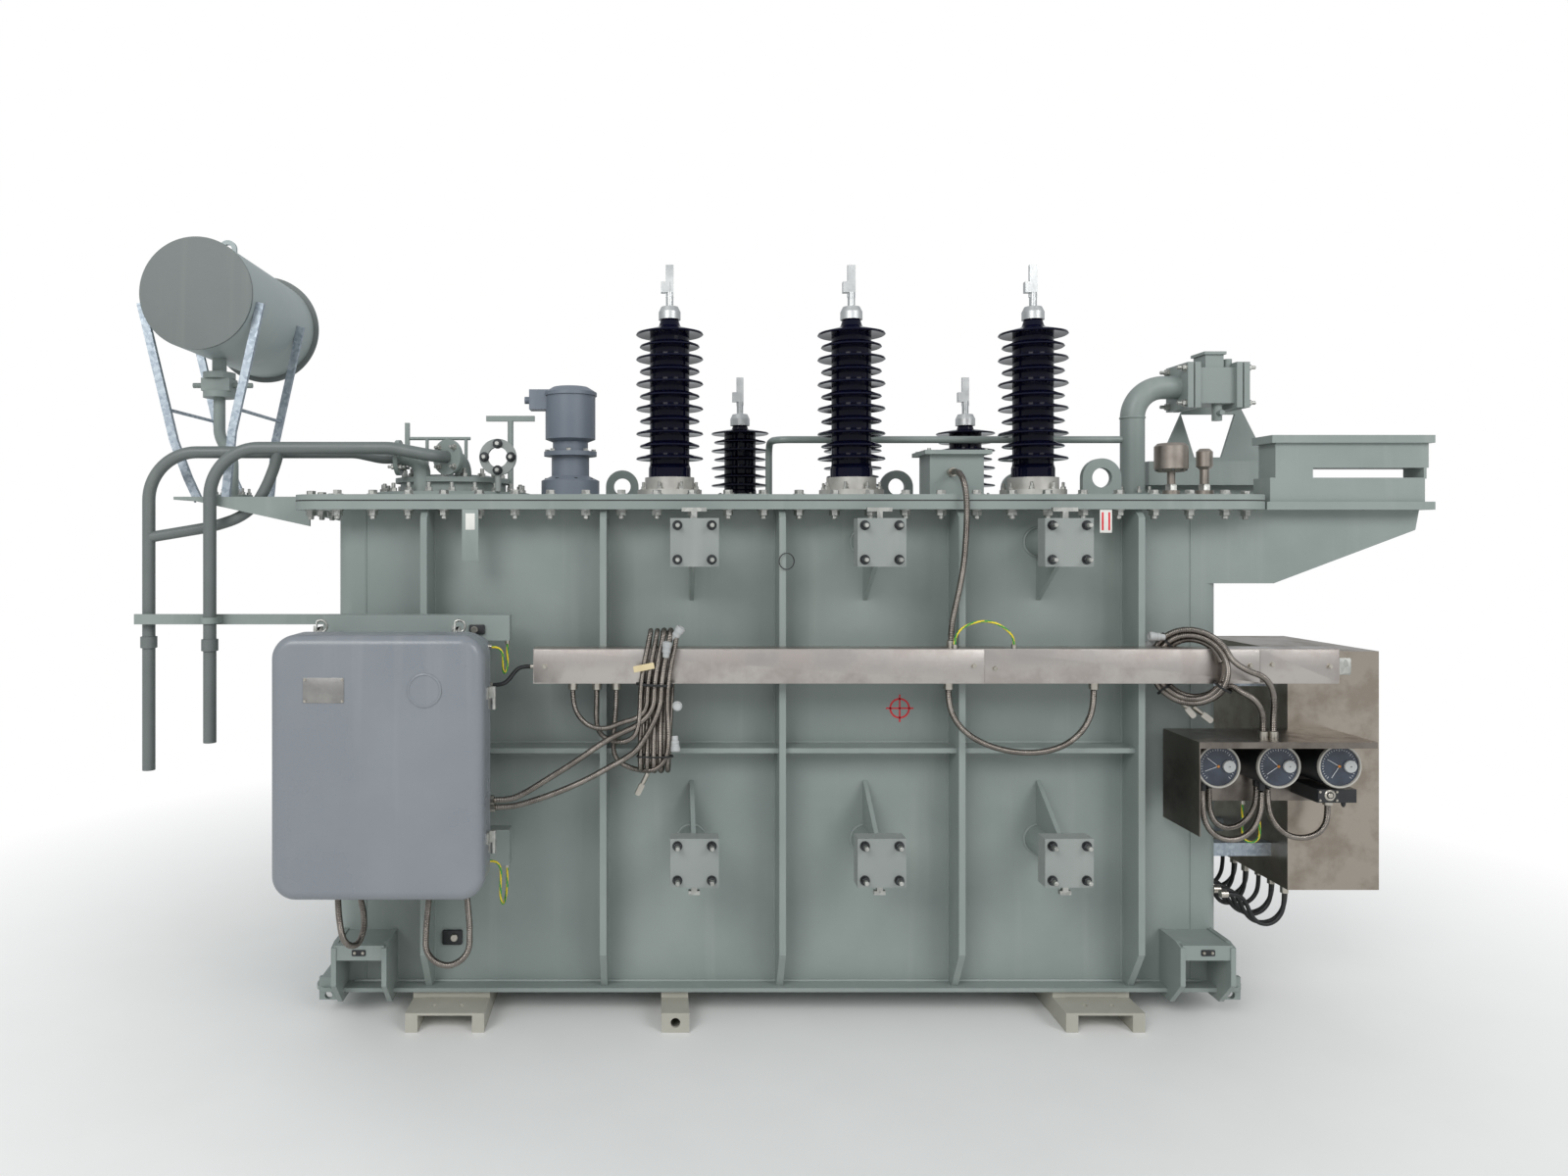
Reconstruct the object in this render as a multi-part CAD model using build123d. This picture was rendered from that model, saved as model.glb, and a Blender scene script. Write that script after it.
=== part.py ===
from build123d import *
import math
import os

# A medium power transformer with an oil-filled tank, drawn in millimetres with +Z up and the floor at Z = 0.
# Pieces are placed about the tank's own centre line. At the end they are all moved together, so that the
# origin lies under the middle of the whole. The front looks along -Y.

# Tank
tank_length = 3340
tank_width = 1300
tank_skin = 10
tank_corner = 60
base_top = 112
base_thickness = 15
base_overhang = 67
rim_underside = 1890
rim_thickness = 30
rim_overhang = 140
rim_corner = 120
rim_seat = 45
gasket_thickness = 5
cover_thickness = 20

# Stiffeners on the long walls
rib_pitch = 655
rib_count = 5
rib_thickness = 24
rib_depth = 140
rib_taper_top = 262
rib_foot_depth = 45
rib_corner = 30
rail_depth = 110
rail_thickness = 18
rail_top = 1012

# Radiator valves
neck_diameter = 105
neck_length = 232
valve_square = 170
valve_thickness = 52
blank_thickness = 18
valve_low = 649
valve_high = 1770
stud_pitch = 120
stud_hole = 18
gusset_thickness = 16
gusset_drop = 221
gusset_nose = 60
spindle_width = 20
spindle_height = 24
handle_length = 88
handle_height = 14

# Jacking lugs, skid frames and pull beam
lug_inset = 39
lug_gap = 183
lug_thickness = 18
lug_depth = 165
lug_top = 310
lug_bottom = 68
lug_nose_low = 160
lug_pad_height = 54
lug_pad_drop = 4
eye_width = 86
eye_bottom = 64
eye_top = 148
eye_hole = 28
skid_length = 1660
skid_height = 70
skid_plate = 9
skid_leg = 44
skid_width = 285
skid_left_inset = 445
skid_right_inset = 509
skid_rim = 128
skid_hole = 18
packer_near = 420
packer_far = 700
pull_width = 100
pull_x = -392
pull_wall = 12
pull_hole = 35

# Tall and short bushings
tall_middle = 332
tall_spacing = 738
tall_from_front = 300
tall_flange = 260
tall_ring = 200
tall_base_height = 83
tall_height = 641
tall_barrel = 160
tall_foot = 170
tall_foot_height = 54
tall_shed = 273
tall_shed_small = 244
tall_pitch = 50.5
tall_sheds = 11
tall_neck = 72
short_middle = 449.5
short_spacing = 521.5
short_from_back = 400
short_flange = 230
short_ring = 176
short_base_height = 40
short_height = 316
short_barrel = 145
short_foot = 150
short_foot_height = 20
short_shed = 265
short_shed_small = 240
short_pitch = 40
short_sheds = 7
short_neck = 66
cap_diameter = 89
cap_height = 52
stud_diameter = 30
stud_height = 60
flag_width = 32
flag_height = 131
flag_thickness = 14
flag_sink = 20

# Tap-changer head, its valves and the drive column
head_inset = 368
head_from_front = 400
head_flange = 630
head_flange_thickness = 22
head_body = 430
head_body_height = 40
head_lid = 470
head_lid_thickness = 20
elbow_diameter = 66
elbow_flange = 140
elbow_flange_thickness = 16
elbow_rise = 157
elbow_radius = 62
elbow_reach = 100
side_elbow_offset = -188
front_elbow_offset = 17
front_elbow_y = -240
open_ring_offset = 218
open_ring_y = -230
open_ring = 144
open_ring_bore = 80
open_ring_thickness = 24
open_ring_pitch = 104
open_ring_hole = 14
open_ring_stem = 24
handle_post = 24
handle_offset = 236
handle_rise = 323
handle_span = 200
handle_bar = 22
lever_rod = 14
lever_rise = 247
column_inset = 853
column_drum = 240
column_drum_height = 75
column_neck = 156
column_flange = 218
column_body = 207
column_height = 463
column_box_depth = 80
column_box_high = 82
column_box_reach = 64

# Oil pipes and conservator
pipe_diameter = 48
pipe_bend = 190
pipe_sleeve = 62
pipe_sleeve_height = 44
outer_pipe_reach = 804
outer_pipe_step = 200
outer_pipe_rise = 179
outer_pipe_end = 864
inner_pipe_reach = 516
inner_pipe_step = 90
inner_pipe_rise = 187
inner_pipe_end = 994
sleeve_z = 1371
clamp_z = 1466
clamp_height = 24
clamp_wall = 8
arm_thickness = 10
arm_height = 40
drain_clearance = 8
drain_diameter = 43
conservator_reach = 646
conservator_rise = 826
conservator_diameter = 455
conservator_front = -375
conservator_rear = 380
conservator_skin = 6
conservator_lid = 12
conservator_rim = 500
conservator_leg_width = 32
conservator_leg_thickness = 20
conservator_eye = 36
conservator_eye_width = 74
leg_front_y = -335
leg_rear_y = 157
cross_rod = 14
shelf_overlap = 24
shelf_rear = 380
shelf_front = 530
shelf_thickness = 12
shelf_web = 12
outlet_y = -153
outlet_flange = 162

# Lifting lugs on the cover
lifting_end_inset = 380
lifting_edge_inset = 170
lifting_left_x = -618
lifting_right_x = 662
lifting_middle_y = 300
lifting_radius = 76
lifting_thickness = 30
lifting_hole = 78

# Relay riser, vent pipe and sensors at the right end of the cover
relay_inset = 106
relay_y = -150
relay_pipe = 98
relay_rise = 477
relay_bend = 129
relay_run = 60
relay_flange = 190
relay_flange_gap = 6
relay_flange_thickness = 24
relay_body_length = 150
vent_diameter = 30
vent_rise = 256
vent_far_x = 41
vent_bend = 60
vent_back = 210
sensor_edge = 170
sensor_pot = 124
sensor_pot_x = -102
sensor_second_x = 29
box_middle_x = 681
box_width = 205
box_lid_width = 253
box_edge = 20
box_deep = 160
box_high = 157
box_lid = 16

# Conservator bracket and cradle at the right end
bracket_reach = 752
bracket_lip = 14
bracket_plate = 12
bracket_bottom = 1613
gusset_foot = 203.04
bracket_nose_drop = 75
bracket_out = 65
bracket_in = 70
beam_out = 50
beam_in = 60
low_beam = 90
beam_gap = 37
high_beam = 92
top_rim = 29
post_left = 180
post_width = 140
cradle_y = 50
cradle_reach = 583
cradle_plate = 14
cradle_shoulder = 174
cradle_height = 437

# Stainless cabinet and gauge hood at the right end
box_gap = 225
box_size = 341
box_front = -700
box_back = -100
box_bottom = 471
box_top = 1362
standoff = 50
hood_left_gap = -240
hood_width = 621
hood_depth = 265
hood_top = 1074
hood_bottom = 806
hood_side_bottom = 745
hood_sheet = 4
dial_diameter = 157
dial_z = 971
dial_depth = 170
dial_gaps = (-128, 87, 304)
dial_stub = 26
dial_stub_spread = 22
stub_bottom = 870
meter_width = 140
meter_depth = 160
meter_low = 838
meter_high = 886

# Cable trunk and drive cabinet
trunk_left_inset = 770
trunk_reach = 305
trunk_low = 1266
trunk_high = 1390
trunk_depth = 86
cabinet_overhang = 55
cabinet_width = 700
cabinet_low = 597
cabinet_high = 1468
cabinet_stand = 60
cabinet_depth = 250
cabinet_collar = 40
cabinet_inset = 32
cabinet_door_depth = 95
cabinet_skin = 5
cabinet_corner = 80
door_rounding = 35
door_gap = 5
bracket_left_inset = 68
bracket_right_reach = 37
bracket_drop = 51
bracket_height = 91
bracket_lift = 12
bracket_low_height = 128
hinge_gap = 17
hinge_diameter = 18
hinge_pin = 8
hinge_height = 76
hinge_leaf = 30
hinge_sheet = 6
hinge_z = (768, 1250)
fit_gap = 0.3

# Conduits, cables and their glands
conduit = 22
thin_conduit = 18.5
black_cable = 16
lead_diameter = 15
cabinet_cables = 10
earth_wire = 8.5
gland = 34
gland_length = 26
earth_lug = 18
earth_lug_length = 14
hank_width = 150
hank_left = -530
hank_low = 940
hank_bundle = 45
hank_rise = 74
coil_bundle = 44
coil_ring = 260
coil_turn = 50
coil_x = 1467
coil_z = 1318

# Sizes that follow from the ones above
wall_y = tank_width / 2
end_x = tank_length / 2
rim_top = rim_underside + rim_thickness
cover_under = rim_top + gasket_thickness
cover_top = cover_under + cover_thickness
rib_face = wall_y + rib_depth
rib_x = [(i - (rib_count - 1) / 2) * rib_pitch for i in range(rib_count)]
valve_x = [-rib_pitch / 2, rib_pitch / 2, 1.5 * rib_pitch]
blank_face = wall_y + neck_length + valve_thickness + blank_thickness
lug_outer = end_x - lug_inset
lug_inner = lug_outer - lug_gap
skid_left = -end_x + skid_left_inset
skid_right = end_x - skid_right_inset
tall_x = (tall_middle - tall_spacing, tall_middle, tall_middle + tall_spacing)
tall_y = -wall_y + tall_from_front
tall_porcelain_base = cover_top + tall_base_height
short_x = (short_middle - short_spacing, short_middle, short_middle + short_spacing)
short_y = wall_y - short_from_back
short_porcelain_base = cover_top + short_base_height
head_x = -end_x + head_inset
head_y = -wall_y + head_from_front
elbow_z = cover_top + elbow_rise
open_ring_x = head_x + open_ring_offset
ring_y = head_y + open_ring_y
column_x = -end_x + column_inset
column_y = head_y
column_top = cover_top + column_height
outer_pipe_x = -end_x - outer_pipe_reach
outer_pipe_y = head_y - outer_pipe_step
outer_pipe_z = cover_top + outer_pipe_rise
inner_pipe_x = -end_x - inner_pipe_reach
inner_pipe_y = -wall_y + inner_pipe_step
inner_pipe_z = cover_top + inner_pipe_rise
conservator_x = -end_x - conservator_reach
conservator_z = cover_top + conservator_rise
shelf_end = conservator_x - shelf_overlap
lifting_places = (
    (end_x - lifting_end_inset, -wall_y + lifting_edge_inset),
    (lifting_left_x, lifting_middle_y),
    (lifting_right_x, lifting_middle_y),
    (end_x - lifting_end_inset, wall_y - lifting_edge_inset),
)
relay_x = end_x - relay_inset
relay_axis_z = cover_top + relay_rise
relay_left = relay_x + relay_bend + relay_run
vent_z = cover_top + vent_rise
bracket_right = end_x + bracket_reach
box_left = end_x + box_gap
box_right = box_left + box_size
hood_left = end_x + hood_left_gap
hood_right = hood_left + hood_width
hood_front = box_front - hood_depth
dial_x = [end_x + gap for gap in dial_gaps]
trunk_left = -end_x + trunk_left_inset
trunk_right = end_x + trunk_reach
trunk_face = -rib_face - trunk_depth
trunk_y = -rib_face - trunk_depth / 2
cabinet_left = -end_x - cabinet_overhang
cabinet_right = cabinet_left + cabinet_width
cabinet_back = -rib_face - cabinet_stand
cabinet_split = cabinet_back - cabinet_depth
cabinet_front = cabinet_split - door_gap - cabinet_door_depth
bracket_start = cabinet_left + bracket_left_inset
bracket_end = cabinet_right + bracket_right_reach
tank_x = -(conservator_x - conservator_diameter / 2 + bracket_right + bracket_lip) / 2
tank_y = -(cabinet_front + blank_face) / 2


def block(x, y, z):
    """A box between two limits along each axis."""
    size = [high - low for low, high in (x, y, z)]
    middle = [(low + high) / 2 for low, high in (x, y, z)]
    return Pos(*middle) * Box(*size)


def rod(start, end, diameter):
    """A round bar between two points."""
    way = Vector(*end) - Vector(*start)
    return extrude(Plane(origin=start, z_dir=way) * Circle(diameter / 2), way.length)


def tube(start, end, diameter, bore):
    """A hollow round bar between two points."""
    return rod(start, end, diameter) - rod(start, end, bore)


def plate_yz(points, x, thickness):
    """A flat plate that faces along X, from its outline in Y and Z."""
    face = make_face(Polyline(*points, close=True))
    return extrude(Plane.YZ.offset(x) * face, thickness / 2, both=True)


def plate_xz(points, y, thickness):
    """A flat plate that faces along Y, from its outline in X and Z."""
    face = make_face(Polyline(*points, close=True))
    return extrude(Plane.XZ.offset(-y) * face, thickness / 2, both=True)


def turned(points):
    """A turned solid about Z, from its half outline in radius and height."""
    return revolve(Plane.XZ * make_face(Polyline(*points, close=True)), Axis.Z)


def group(pieces):
    """Several solids kept apart in one sub-part."""
    return Compound([solid for piece in pieces for solid in piece.solids()])


def both_sides(pieces):
    """The pieces of the front wall and their repeats on the back wall."""
    return [*pieces, *(mirror(piece, about=Plane.XZ) for piece in pieces)]


def slab(grow, corner, low, high):
    """A flat plate that follows the tank's plan."""
    outline = RectangleRounded(tank_length + 2 * grow, tank_width + 2 * grow, corner)
    return extrude(Pos(0, 0, low) * outline, high - low)


# Tank, base, rim and cover
def tank_wall():
    return slab(0, tank_corner, base_top, rim_underside) - slab(
        -tank_skin, tank_corner - tank_skin, base_top, rim_underside
    )


def bottom_plate():
    return slab(base_overhang, tank_corner, base_top - base_thickness, base_top)


def rim(low, high):
    """A ring on top of the wall."""
    inner = slab(-rim_seat, tank_corner, low, high)
    return slab(rim_overhang, rim_corner, low, high) - inner


def cover_plate():
    return slab(rim_overhang, rim_corner, cover_under, cover_top)


# Stiffeners
def rib(x):
    face = -wall_y
    nose = -rib_face
    return plate_yz(
        [
            (face, base_top),
            (face, rim_underside),
            (nose + rib_corner, rim_underside),
            (nose, rim_underside - rib_corner),
            (nose, rib_taper_top),
            (face - rib_foot_depth, base_top),
        ],
        x,
        rib_thickness,
    )


def waist_rail(left, right):
    reach = rib_thickness / 2
    return block(
        (left + reach, right - reach),
        (-wall_y - rail_depth, -wall_y),
        (rail_top - rail_thickness, rail_top),
    )


# Radiator valves
def stud_holes(x, z):
    """Four holes through a valve flange."""
    reach = stud_pitch / 2
    holes = [
        rod((x + dx, -wall_y, z + dz), (x + dx, -blank_face - 1, z + dz), stud_hole)
        for dx in (-reach, reach)
        for dz in (-reach, reach)
    ]
    return holes


def valve_places():
    return [(x, z) for z in (valve_low, valve_high) for x in valve_x]


def valve_neck(x, z):
    start = (x, -wall_y, z)
    return rod(start, (x, -wall_y - neck_length, z), neck_diameter)


def valve_plate(x, z, near, far):
    half = valve_square / 2
    plate = block((x - half, x + half), (-far, -near), (z - half, z + half))
    return plate - stud_holes(x, z)


def valve_gusset(x, z):
    """A web on the side of the neck that looks towards the middle of the wall."""
    way = 1 if z == valve_low else -1
    nose = -wall_y - neck_length + gusset_thickness
    web = plate_yz(
        [
            (-wall_y, z),
            (nose, z),
            (nose, z + way * (neck_diameter / 2 + gusset_nose / 3)),
            (-wall_y, z + way * gusset_drop),
        ],
        x,
        gusset_thickness,
    )
    return web - valve_neck(x, z)


def valve_spindle(x, z):
    """A square spindle and T-bar on the outer edge of a valve."""
    way = -1 if z == valve_low else 1
    y = -wall_y - neck_length - valve_thickness / 2
    edge = z + way * valve_square / 2
    square = spindle_width / 2
    stem = block(
        (x - square, x + square), (y - square, y + square), sorted((edge, edge + way * spindle_height))
    )
    far = edge + way * spindle_height
    half = handle_length / 2 if z == valve_high else spindle_width
    bar = block((x - half, x + half), (y - square, y + square), sorted((far, far + way * handle_height)))
    return stem + bar


# Jacking lugs
def jacking_lug(side):
    """Two webs with a pad between them and a pulling eye, at one end of the front wall."""
    lip = -wall_y - lug_depth
    root = -wall_y + tank_corner
    web = [
        (root, lug_bottom),
        (root, lug_top),
        (lip + 40, lug_top),
        (lip, lug_top - 12),
        (lip, lug_nose_low),
        (lip + 85, lug_bottom),
    ]
    inner = plate_yz(web, side * lug_inner, lug_thickness)
    outer = plate_yz(web, side * lug_outer, lug_thickness)
    pad_top = lug_top - lug_pad_drop
    pad = block(
        sorted((side * lug_inner, side * lug_outer)),
        (lip + lug_pad_drop, -wall_y),
        (pad_top - lug_pad_height, pad_top),
    )
    eye_y = lip + 110
    eye = block(
        sorted((side * lug_outer, side * (lug_outer + eye_width))),
        (eye_y, eye_y + lug_thickness),
        (eye_bottom, eye_top),
    )
    eye_x = side * (lug_outer + eye_width * 0.6)
    eye_z = (eye_bottom + base_top - base_thickness) / 2
    lug = inner + outer + pad + eye
    lug -= slab(0, tank_corner, 0, rim_underside)
    lug -= bottom_plate()
    return lug - rod((eye_x, eye_y - 1, eye_z), (eye_x, eye_y + lug_thickness + 1, eye_z), eye_hole)


# Skid frames and pull beam under the tank
def skid_frame(x):
    """Two legs under a plate with openings at both ends and in the middle."""
    half = skid_width / 2
    long_half = skid_length / 2
    under = skid_height - skid_plate
    frame = block((x - half, x + half), (-long_half, long_half), (under, skid_height))
    window = half - skid_leg
    near = long_half - skid_rim
    for way in (-1, 1):
        frame -= block((x - window, x + window), sorted((way * near, way * near / 2)), (under, skid_height))
        for dx in (-window / 2, window / 2):
            y = way * (long_half - skid_rim / 2)
            frame -= rod((x + dx, y, under), (x + dx, y, skid_height), skid_hole)
    for way in (-1, 1):
        leg = sorted((x + way * half, x + way * (half - skid_leg)))
        frame += block(leg, (-long_half, long_half), (0, under))
    return frame


def skid_packers():
    """Bars between the frames and the base plate."""
    bars = []
    for x, width in ((skid_left, skid_width), (skid_right, skid_width), (pull_x, pull_width)):
        for way in (-1, 1):
            bars.append(
                block(
                    (x - width / 2, x + width / 2),
                    sorted((way * packer_near, way * packer_far)),
                    (skid_height, base_top - base_thickness),
                )
            )
    return group(bars)


def pull_beam():
    """A box beam with a pulling hole in each end plate."""
    half = pull_width / 2
    long_half = skid_length / 2
    beam = block((pull_x - half, pull_x + half), (-long_half, long_half), (0, skid_height))
    beam -= block(
        (pull_x - half + pull_wall, pull_x + half - pull_wall),
        (-long_half + pull_wall, long_half - pull_wall),
        (pull_wall, skid_height - pull_wall),
    )
    middle = skid_height / 2
    return beam - rod((pull_x, -long_half, middle), (pull_x, long_half, middle), pull_hole)


# Bushings
def shed_profile(barrel, sheds, root, first, pitch):
    """Outline points of a stack of sheds, each with a sloping top and a flat underside."""
    points = []
    for i in range(len(sheds)):
        low = first + i * pitch
        tip = sheds[i] / 2
        points += [
            (barrel / 2, low),
            (tip - 5, low - root / 4),
            (tip, low - root / 4 + 3),
            (tip - 3, low + 4),
            (barrel / 2, low + root),
        ]
    return points


def porcelain(height, barrel, foot, foot_height, sheds, pitch, neck):
    """A porcelain body with its foot on Z = 0."""
    first = foot_height + pitch * 0.45
    crown = height - 26
    points = [(0, 0), (foot / 2, 0), (foot / 2, foot_height * 0.7), (barrel / 2, foot_height)]
    points += shed_profile(barrel, sheds, pitch * 0.38, first, pitch)
    points += [(barrel / 2 - 6, crown - 22), (neck / 2 + 8, crown), (neck / 2, height), (0, height)]
    return turned(points)


def bushing_base(flange, ring, low, high):
    """A clamping ring on a bolted flange."""
    lip = low + (high - low) * 0.4
    return turned(
        [(0, low), (flange / 2, low), (flange / 2, lip), (ring / 2, lip), (ring / 2, high), (0, high)]
    )


def terminal(low):
    """A round cap, a stud and a flag with a clamp block."""
    top = cap_height + stud_height
    cap = turned(
        [
            (0, 0),
            (cap_diameter / 2, 0),
            (cap_diameter / 2, cap_height * 0.6),
            (cap_diameter / 2 - 10, cap_height),
            (stud_diameter / 2, cap_height),
            (stud_diameter / 2, top),
            (0, top),
        ]
    )
    foot = top - flag_sink
    flag = block(
        (-flag_width / 2, flag_width / 2),
        (-flag_thickness / 2, flag_thickness / 2),
        (foot, foot + flag_height),
    )
    clamp = block((-flag_width * 1.1, 0), (-flag_thickness, flag_thickness), (foot + 18, foot + 62))
    return Pos(0, 0, low) * (cap + flag + clamp)


# Tap-changer head
def tap_changer_head():
    """A bolted base ring with a domed lid, a T-handle valve post and a level rod on two posts."""
    low = cover_top
    flange = low + head_flange_thickness
    body = flange + head_body_height
    lid = body + head_lid_thickness
    shape = turned(
        [
            (0, low),
            (head_flange / 2, low),
            (head_flange / 2, flange),
            (head_body / 2, flange),
            (head_body / 2, body),
            (head_lid / 2, body),
            (head_lid / 2, lid),
            (head_lid / 2 - 60, lid),
            (head_lid / 2 - 80, lid + 12),
            (0, lid + 16),
        ]
    )
    head = Pos(head_x, head_y, 0) * shape
    post_x = head_x + handle_offset
    post_top = low + handle_rise
    head += rod((post_x, head_y, flange), (post_x, head_y, post_top), handle_post)
    head += block(
        (post_x - handle_span / 2, post_x + handle_span / 2),
        (head_y - handle_bar / 2, head_y + handle_bar / 2),
        (post_top, post_top + handle_bar),
    )
    bar_y = head_y - 50
    bar_z = low + lever_rise
    for x in (head_x - 100, head_x + 60):
        head += rod((x, bar_y, body), (x, bar_y, bar_z), lever_rod)
    head += rod((head_x - 172, bar_y, bar_z), (head_x + 78, bar_y, bar_z), lever_rod)
    head += block((head_x - 190, head_x - 172), (bar_y - 8, bar_y + 8), (bar_z - 42, bar_z + 64))
    return head


def drive_column():
    """A motor on a flanged neck, with a terminal box on its left side."""
    low = cover_top
    drum = low + column_drum_height
    flange = drum + 120
    body = flange + 40
    shape = turned(
        [
            (0, low),
            (column_drum / 2, low),
            (column_drum / 2, drum),
            (column_neck / 2, drum + 20),
            (column_neck / 2, flange - 18),
            (column_flange / 2, flange - 18),
            (column_flange / 2, flange),
            (column_neck / 2 - 5, flange),
            (column_neck / 2 - 5, body),
            (column_body / 2, body + 12),
            (column_body / 2, column_top - 36),
            (column_body / 2 + 6, column_top - 36),
            (column_body / 2 + 6, column_top - 22),
            (column_body / 2 - 30, column_top),
            (0, column_top),
        ]
    )
    column = Pos(column_x, column_y, 0) * shape
    side = column_x - column_body / 2
    high = column_top - 12
    column += block(
        (side - column_box_reach, side + 30),
        (column_y - column_box_depth / 2, column_y + column_box_depth / 2),
        (high - column_box_high, high),
    )
    gland_x = side - column_box_reach
    gland_z = high - column_box_high / 2
    return column + rod((gland_x - 22, column_y, gland_z), (gland_x, column_y, gland_z), 30)


# Oil pipes
def round_bends(points):
    """The radii of a loose line's arcs: 0.45 of the shorter run, over the tangent of half the turn."""
    radii = []
    for before, corner, after in zip(points, points[1:], points[2:]):
        first = corner - before
        second = after - corner
        turn = math.radians(first.get_angle(second))
        radii.append(0.45 * min(first.length, second.length) / math.tan(turn / 2))
    return radii


def bent_pipe(points, bends, diameter):
    """A pipe along straight runs with a tangent arc at each corner."""
    path = FilletPolyline(*points, radius=bends)
    return sweep(Plane(origin=path @ 0, z_dir=path % 0) * Circle(diameter / 2), path=path)


def elbow_places():
    """Centre of each elbow's flange and the way it faces."""
    return [
        ((head_x + side_elbow_offset, outer_pipe_y, elbow_z), (-1, 0, 0)),
        ((head_x + front_elbow_offset, head_y + front_elbow_y, elbow_z), (-0.5, -0.87, 0)),
    ]


def head_elbow(centre, way):
    """A short elbow that rises from the head and ends in a round flange."""
    face = Vector(*centre)
    out = Vector(*way).normalized()
    back = face - out * elbow_reach
    low = Vector(back.X, back.Y, cover_top + head_flange_thickness)
    bend = bent_pipe([low, Vector(back.X, back.Y, elbow_z), face], [elbow_radius], elbow_diameter)
    elbow = bend + rod(face - out * elbow_flange_thickness, face, elbow_flange)
    return elbow - tap_changer_head()


def open_ring_flange():
    """A valve ring that stands open on a stem, with four bolt holes round its bore."""
    near = ring_y - open_ring_thickness / 2
    far = ring_y + open_ring_thickness / 2
    low = cover_top + head_flange_thickness
    stem = rod((open_ring_x, ring_y, low), (open_ring_x, ring_y, elbow_z), open_ring_stem)
    ring = rod((open_ring_x, near, elbow_z), (open_ring_x, far, elbow_z), open_ring)
    valve = ring + stem - rod((open_ring_x, near, elbow_z), (open_ring_x, far, elbow_z), open_ring_bore)
    for i in range(4):
        turn = math.radians(90 * i)
        x = open_ring_x + open_ring_pitch / 2 * math.cos(turn)
        z = elbow_z + open_ring_pitch / 2 * math.sin(turn)
        valve -= rod((x, near, z), (x, far, z), open_ring_hole)
    return valve


def pipe_sleeves(x, y):
    """A screwed sleeve on a pipe's way down."""
    half = pipe_sleeve_height / 2
    return rod((x, y, sleeve_z - half), (x, y, sleeve_z + half), pipe_sleeve)


def outer_pipe():
    start, way = elbow_places()[0]
    pipe = bent_pipe(
        [
            start,
            (start[0] - 60, outer_pipe_y, elbow_z),
            (start[0] - 160, outer_pipe_y, outer_pipe_z),
            (outer_pipe_x, outer_pipe_y, outer_pipe_z),
            (outer_pipe_x, outer_pipe_y, outer_pipe_end),
        ],
        [200, 200, pipe_bend],
        pipe_diameter,
    )
    drain = drain_line(drain_diameter) - inner_pipe()
    return pipe + pipe_sleeves(outer_pipe_x, outer_pipe_y) + drain


def inner_pipe():
    start, way = elbow_places()[1]
    turn = start[0] - (start[1] - inner_pipe_y) / way[1] * way[0]
    pipe = bent_pipe(
        [
            start,
            (turn, inner_pipe_y, elbow_z),
            (turn - 160, inner_pipe_y, inner_pipe_z),
            (inner_pipe_x, inner_pipe_y, inner_pipe_z),
            (inner_pipe_x, inner_pipe_y, inner_pipe_end),
        ],
        [60, 200, pipe_bend],
        pipe_diameter,
    )
    return pipe + pipe_sleeves(inner_pipe_x, inner_pipe_y)


def drain_line(diameter):
    """A line that leaves the inner pipe, goes down through the shelf and meets the outer pipe."""
    back = outer_pipe_y - inner_pipe_y
    points = [
        (-1917 + 1670, 0.0, inner_pipe_z),
        (-1948 + 1670, 0.35, inner_pipe_z - 66),
        (-1987 + 1670, 0.55, inner_pipe_z - 143),
        (-2034 + 1670, 0.65, inner_pipe_z - 218),
        (-2105 + 1670, 0.75, inner_pipe_z - 269),
        (-2211 + 1670, 0.85, inner_pipe_z - 303),
    ]
    way = [Vector(-end_x + x, inner_pipe_y + back * share, z) for x, share, z in points]
    way.append(Vector(outer_pipe_x, outer_pipe_y, outer_pipe_z - 338))
    return bent_pipe(way, round_bends(way), diameter)


def pipe_clamps():
    """An arm from the end wall with a ring round each pipe."""
    arm_y = (outer_pipe_y + inner_pipe_y) / 2
    low = clamp_z - arm_height / 2
    high = low + arm_height
    half = arm_thickness / 2
    clamps = block((outer_pipe_x - 30, -end_x), (arm_y - half, arm_y + half), (low, high))
    ring = pipe_diameter + 2 * clamp_wall
    for x, y in ((outer_pipe_x, outer_pipe_y), (inner_pipe_x, inner_pipe_y)):
        near = clamp_z - clamp_height / 2
        clamps += rod((x, y, near), (x, y, near + clamp_height), ring)
        clamps += block((x - ring / 2, x + ring / 2), sorted((y, arm_y)), (near, near + clamp_height))
    for x, y in ((outer_pipe_x, outer_pipe_y), (inner_pipe_x, inner_pipe_y)):
        clamps -= rod((x, y, low), (x, y, high), pipe_diameter)
    return clamps


# Conservator
def conservator_shell():
    """A round drum with a lifting eye on its top."""
    y0 = conservator_front
    y1 = conservator_rear
    outer = conservator_diameter
    front = (conservator_x, y0, conservator_z)
    rear = (conservator_x, y1, conservator_z)
    shell = tube(front, rear, outer, outer - 2 * conservator_skin)
    top = conservator_z + outer / 2
    half = conservator_eye_width / 2
    eye = block((conservator_x - half, conservator_x + half), (-68, -52), (top - 12, top + half))
    eye += rod((conservator_x, -68, top + half), (conservator_x, -52, top + half), conservator_eye_width)
    eye -= rod((conservator_x, -68, top + half), (conservator_x, -52, top + half), conservator_eye)
    eye -= rod(front, rear, outer - conservator_skin)
    return shell + eye


def conservator_ends():
    front = rod(
        (conservator_x, conservator_front - conservator_lid, conservator_z),
        (conservator_x, conservator_front, conservator_z),
        conservator_diameter,
    )
    back = rod(
        (conservator_x, conservator_rear, conservator_z),
        (conservator_x, conservator_rear + conservator_lid, conservator_z),
        conservator_rim,
    )
    return group([front, back])


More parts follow.
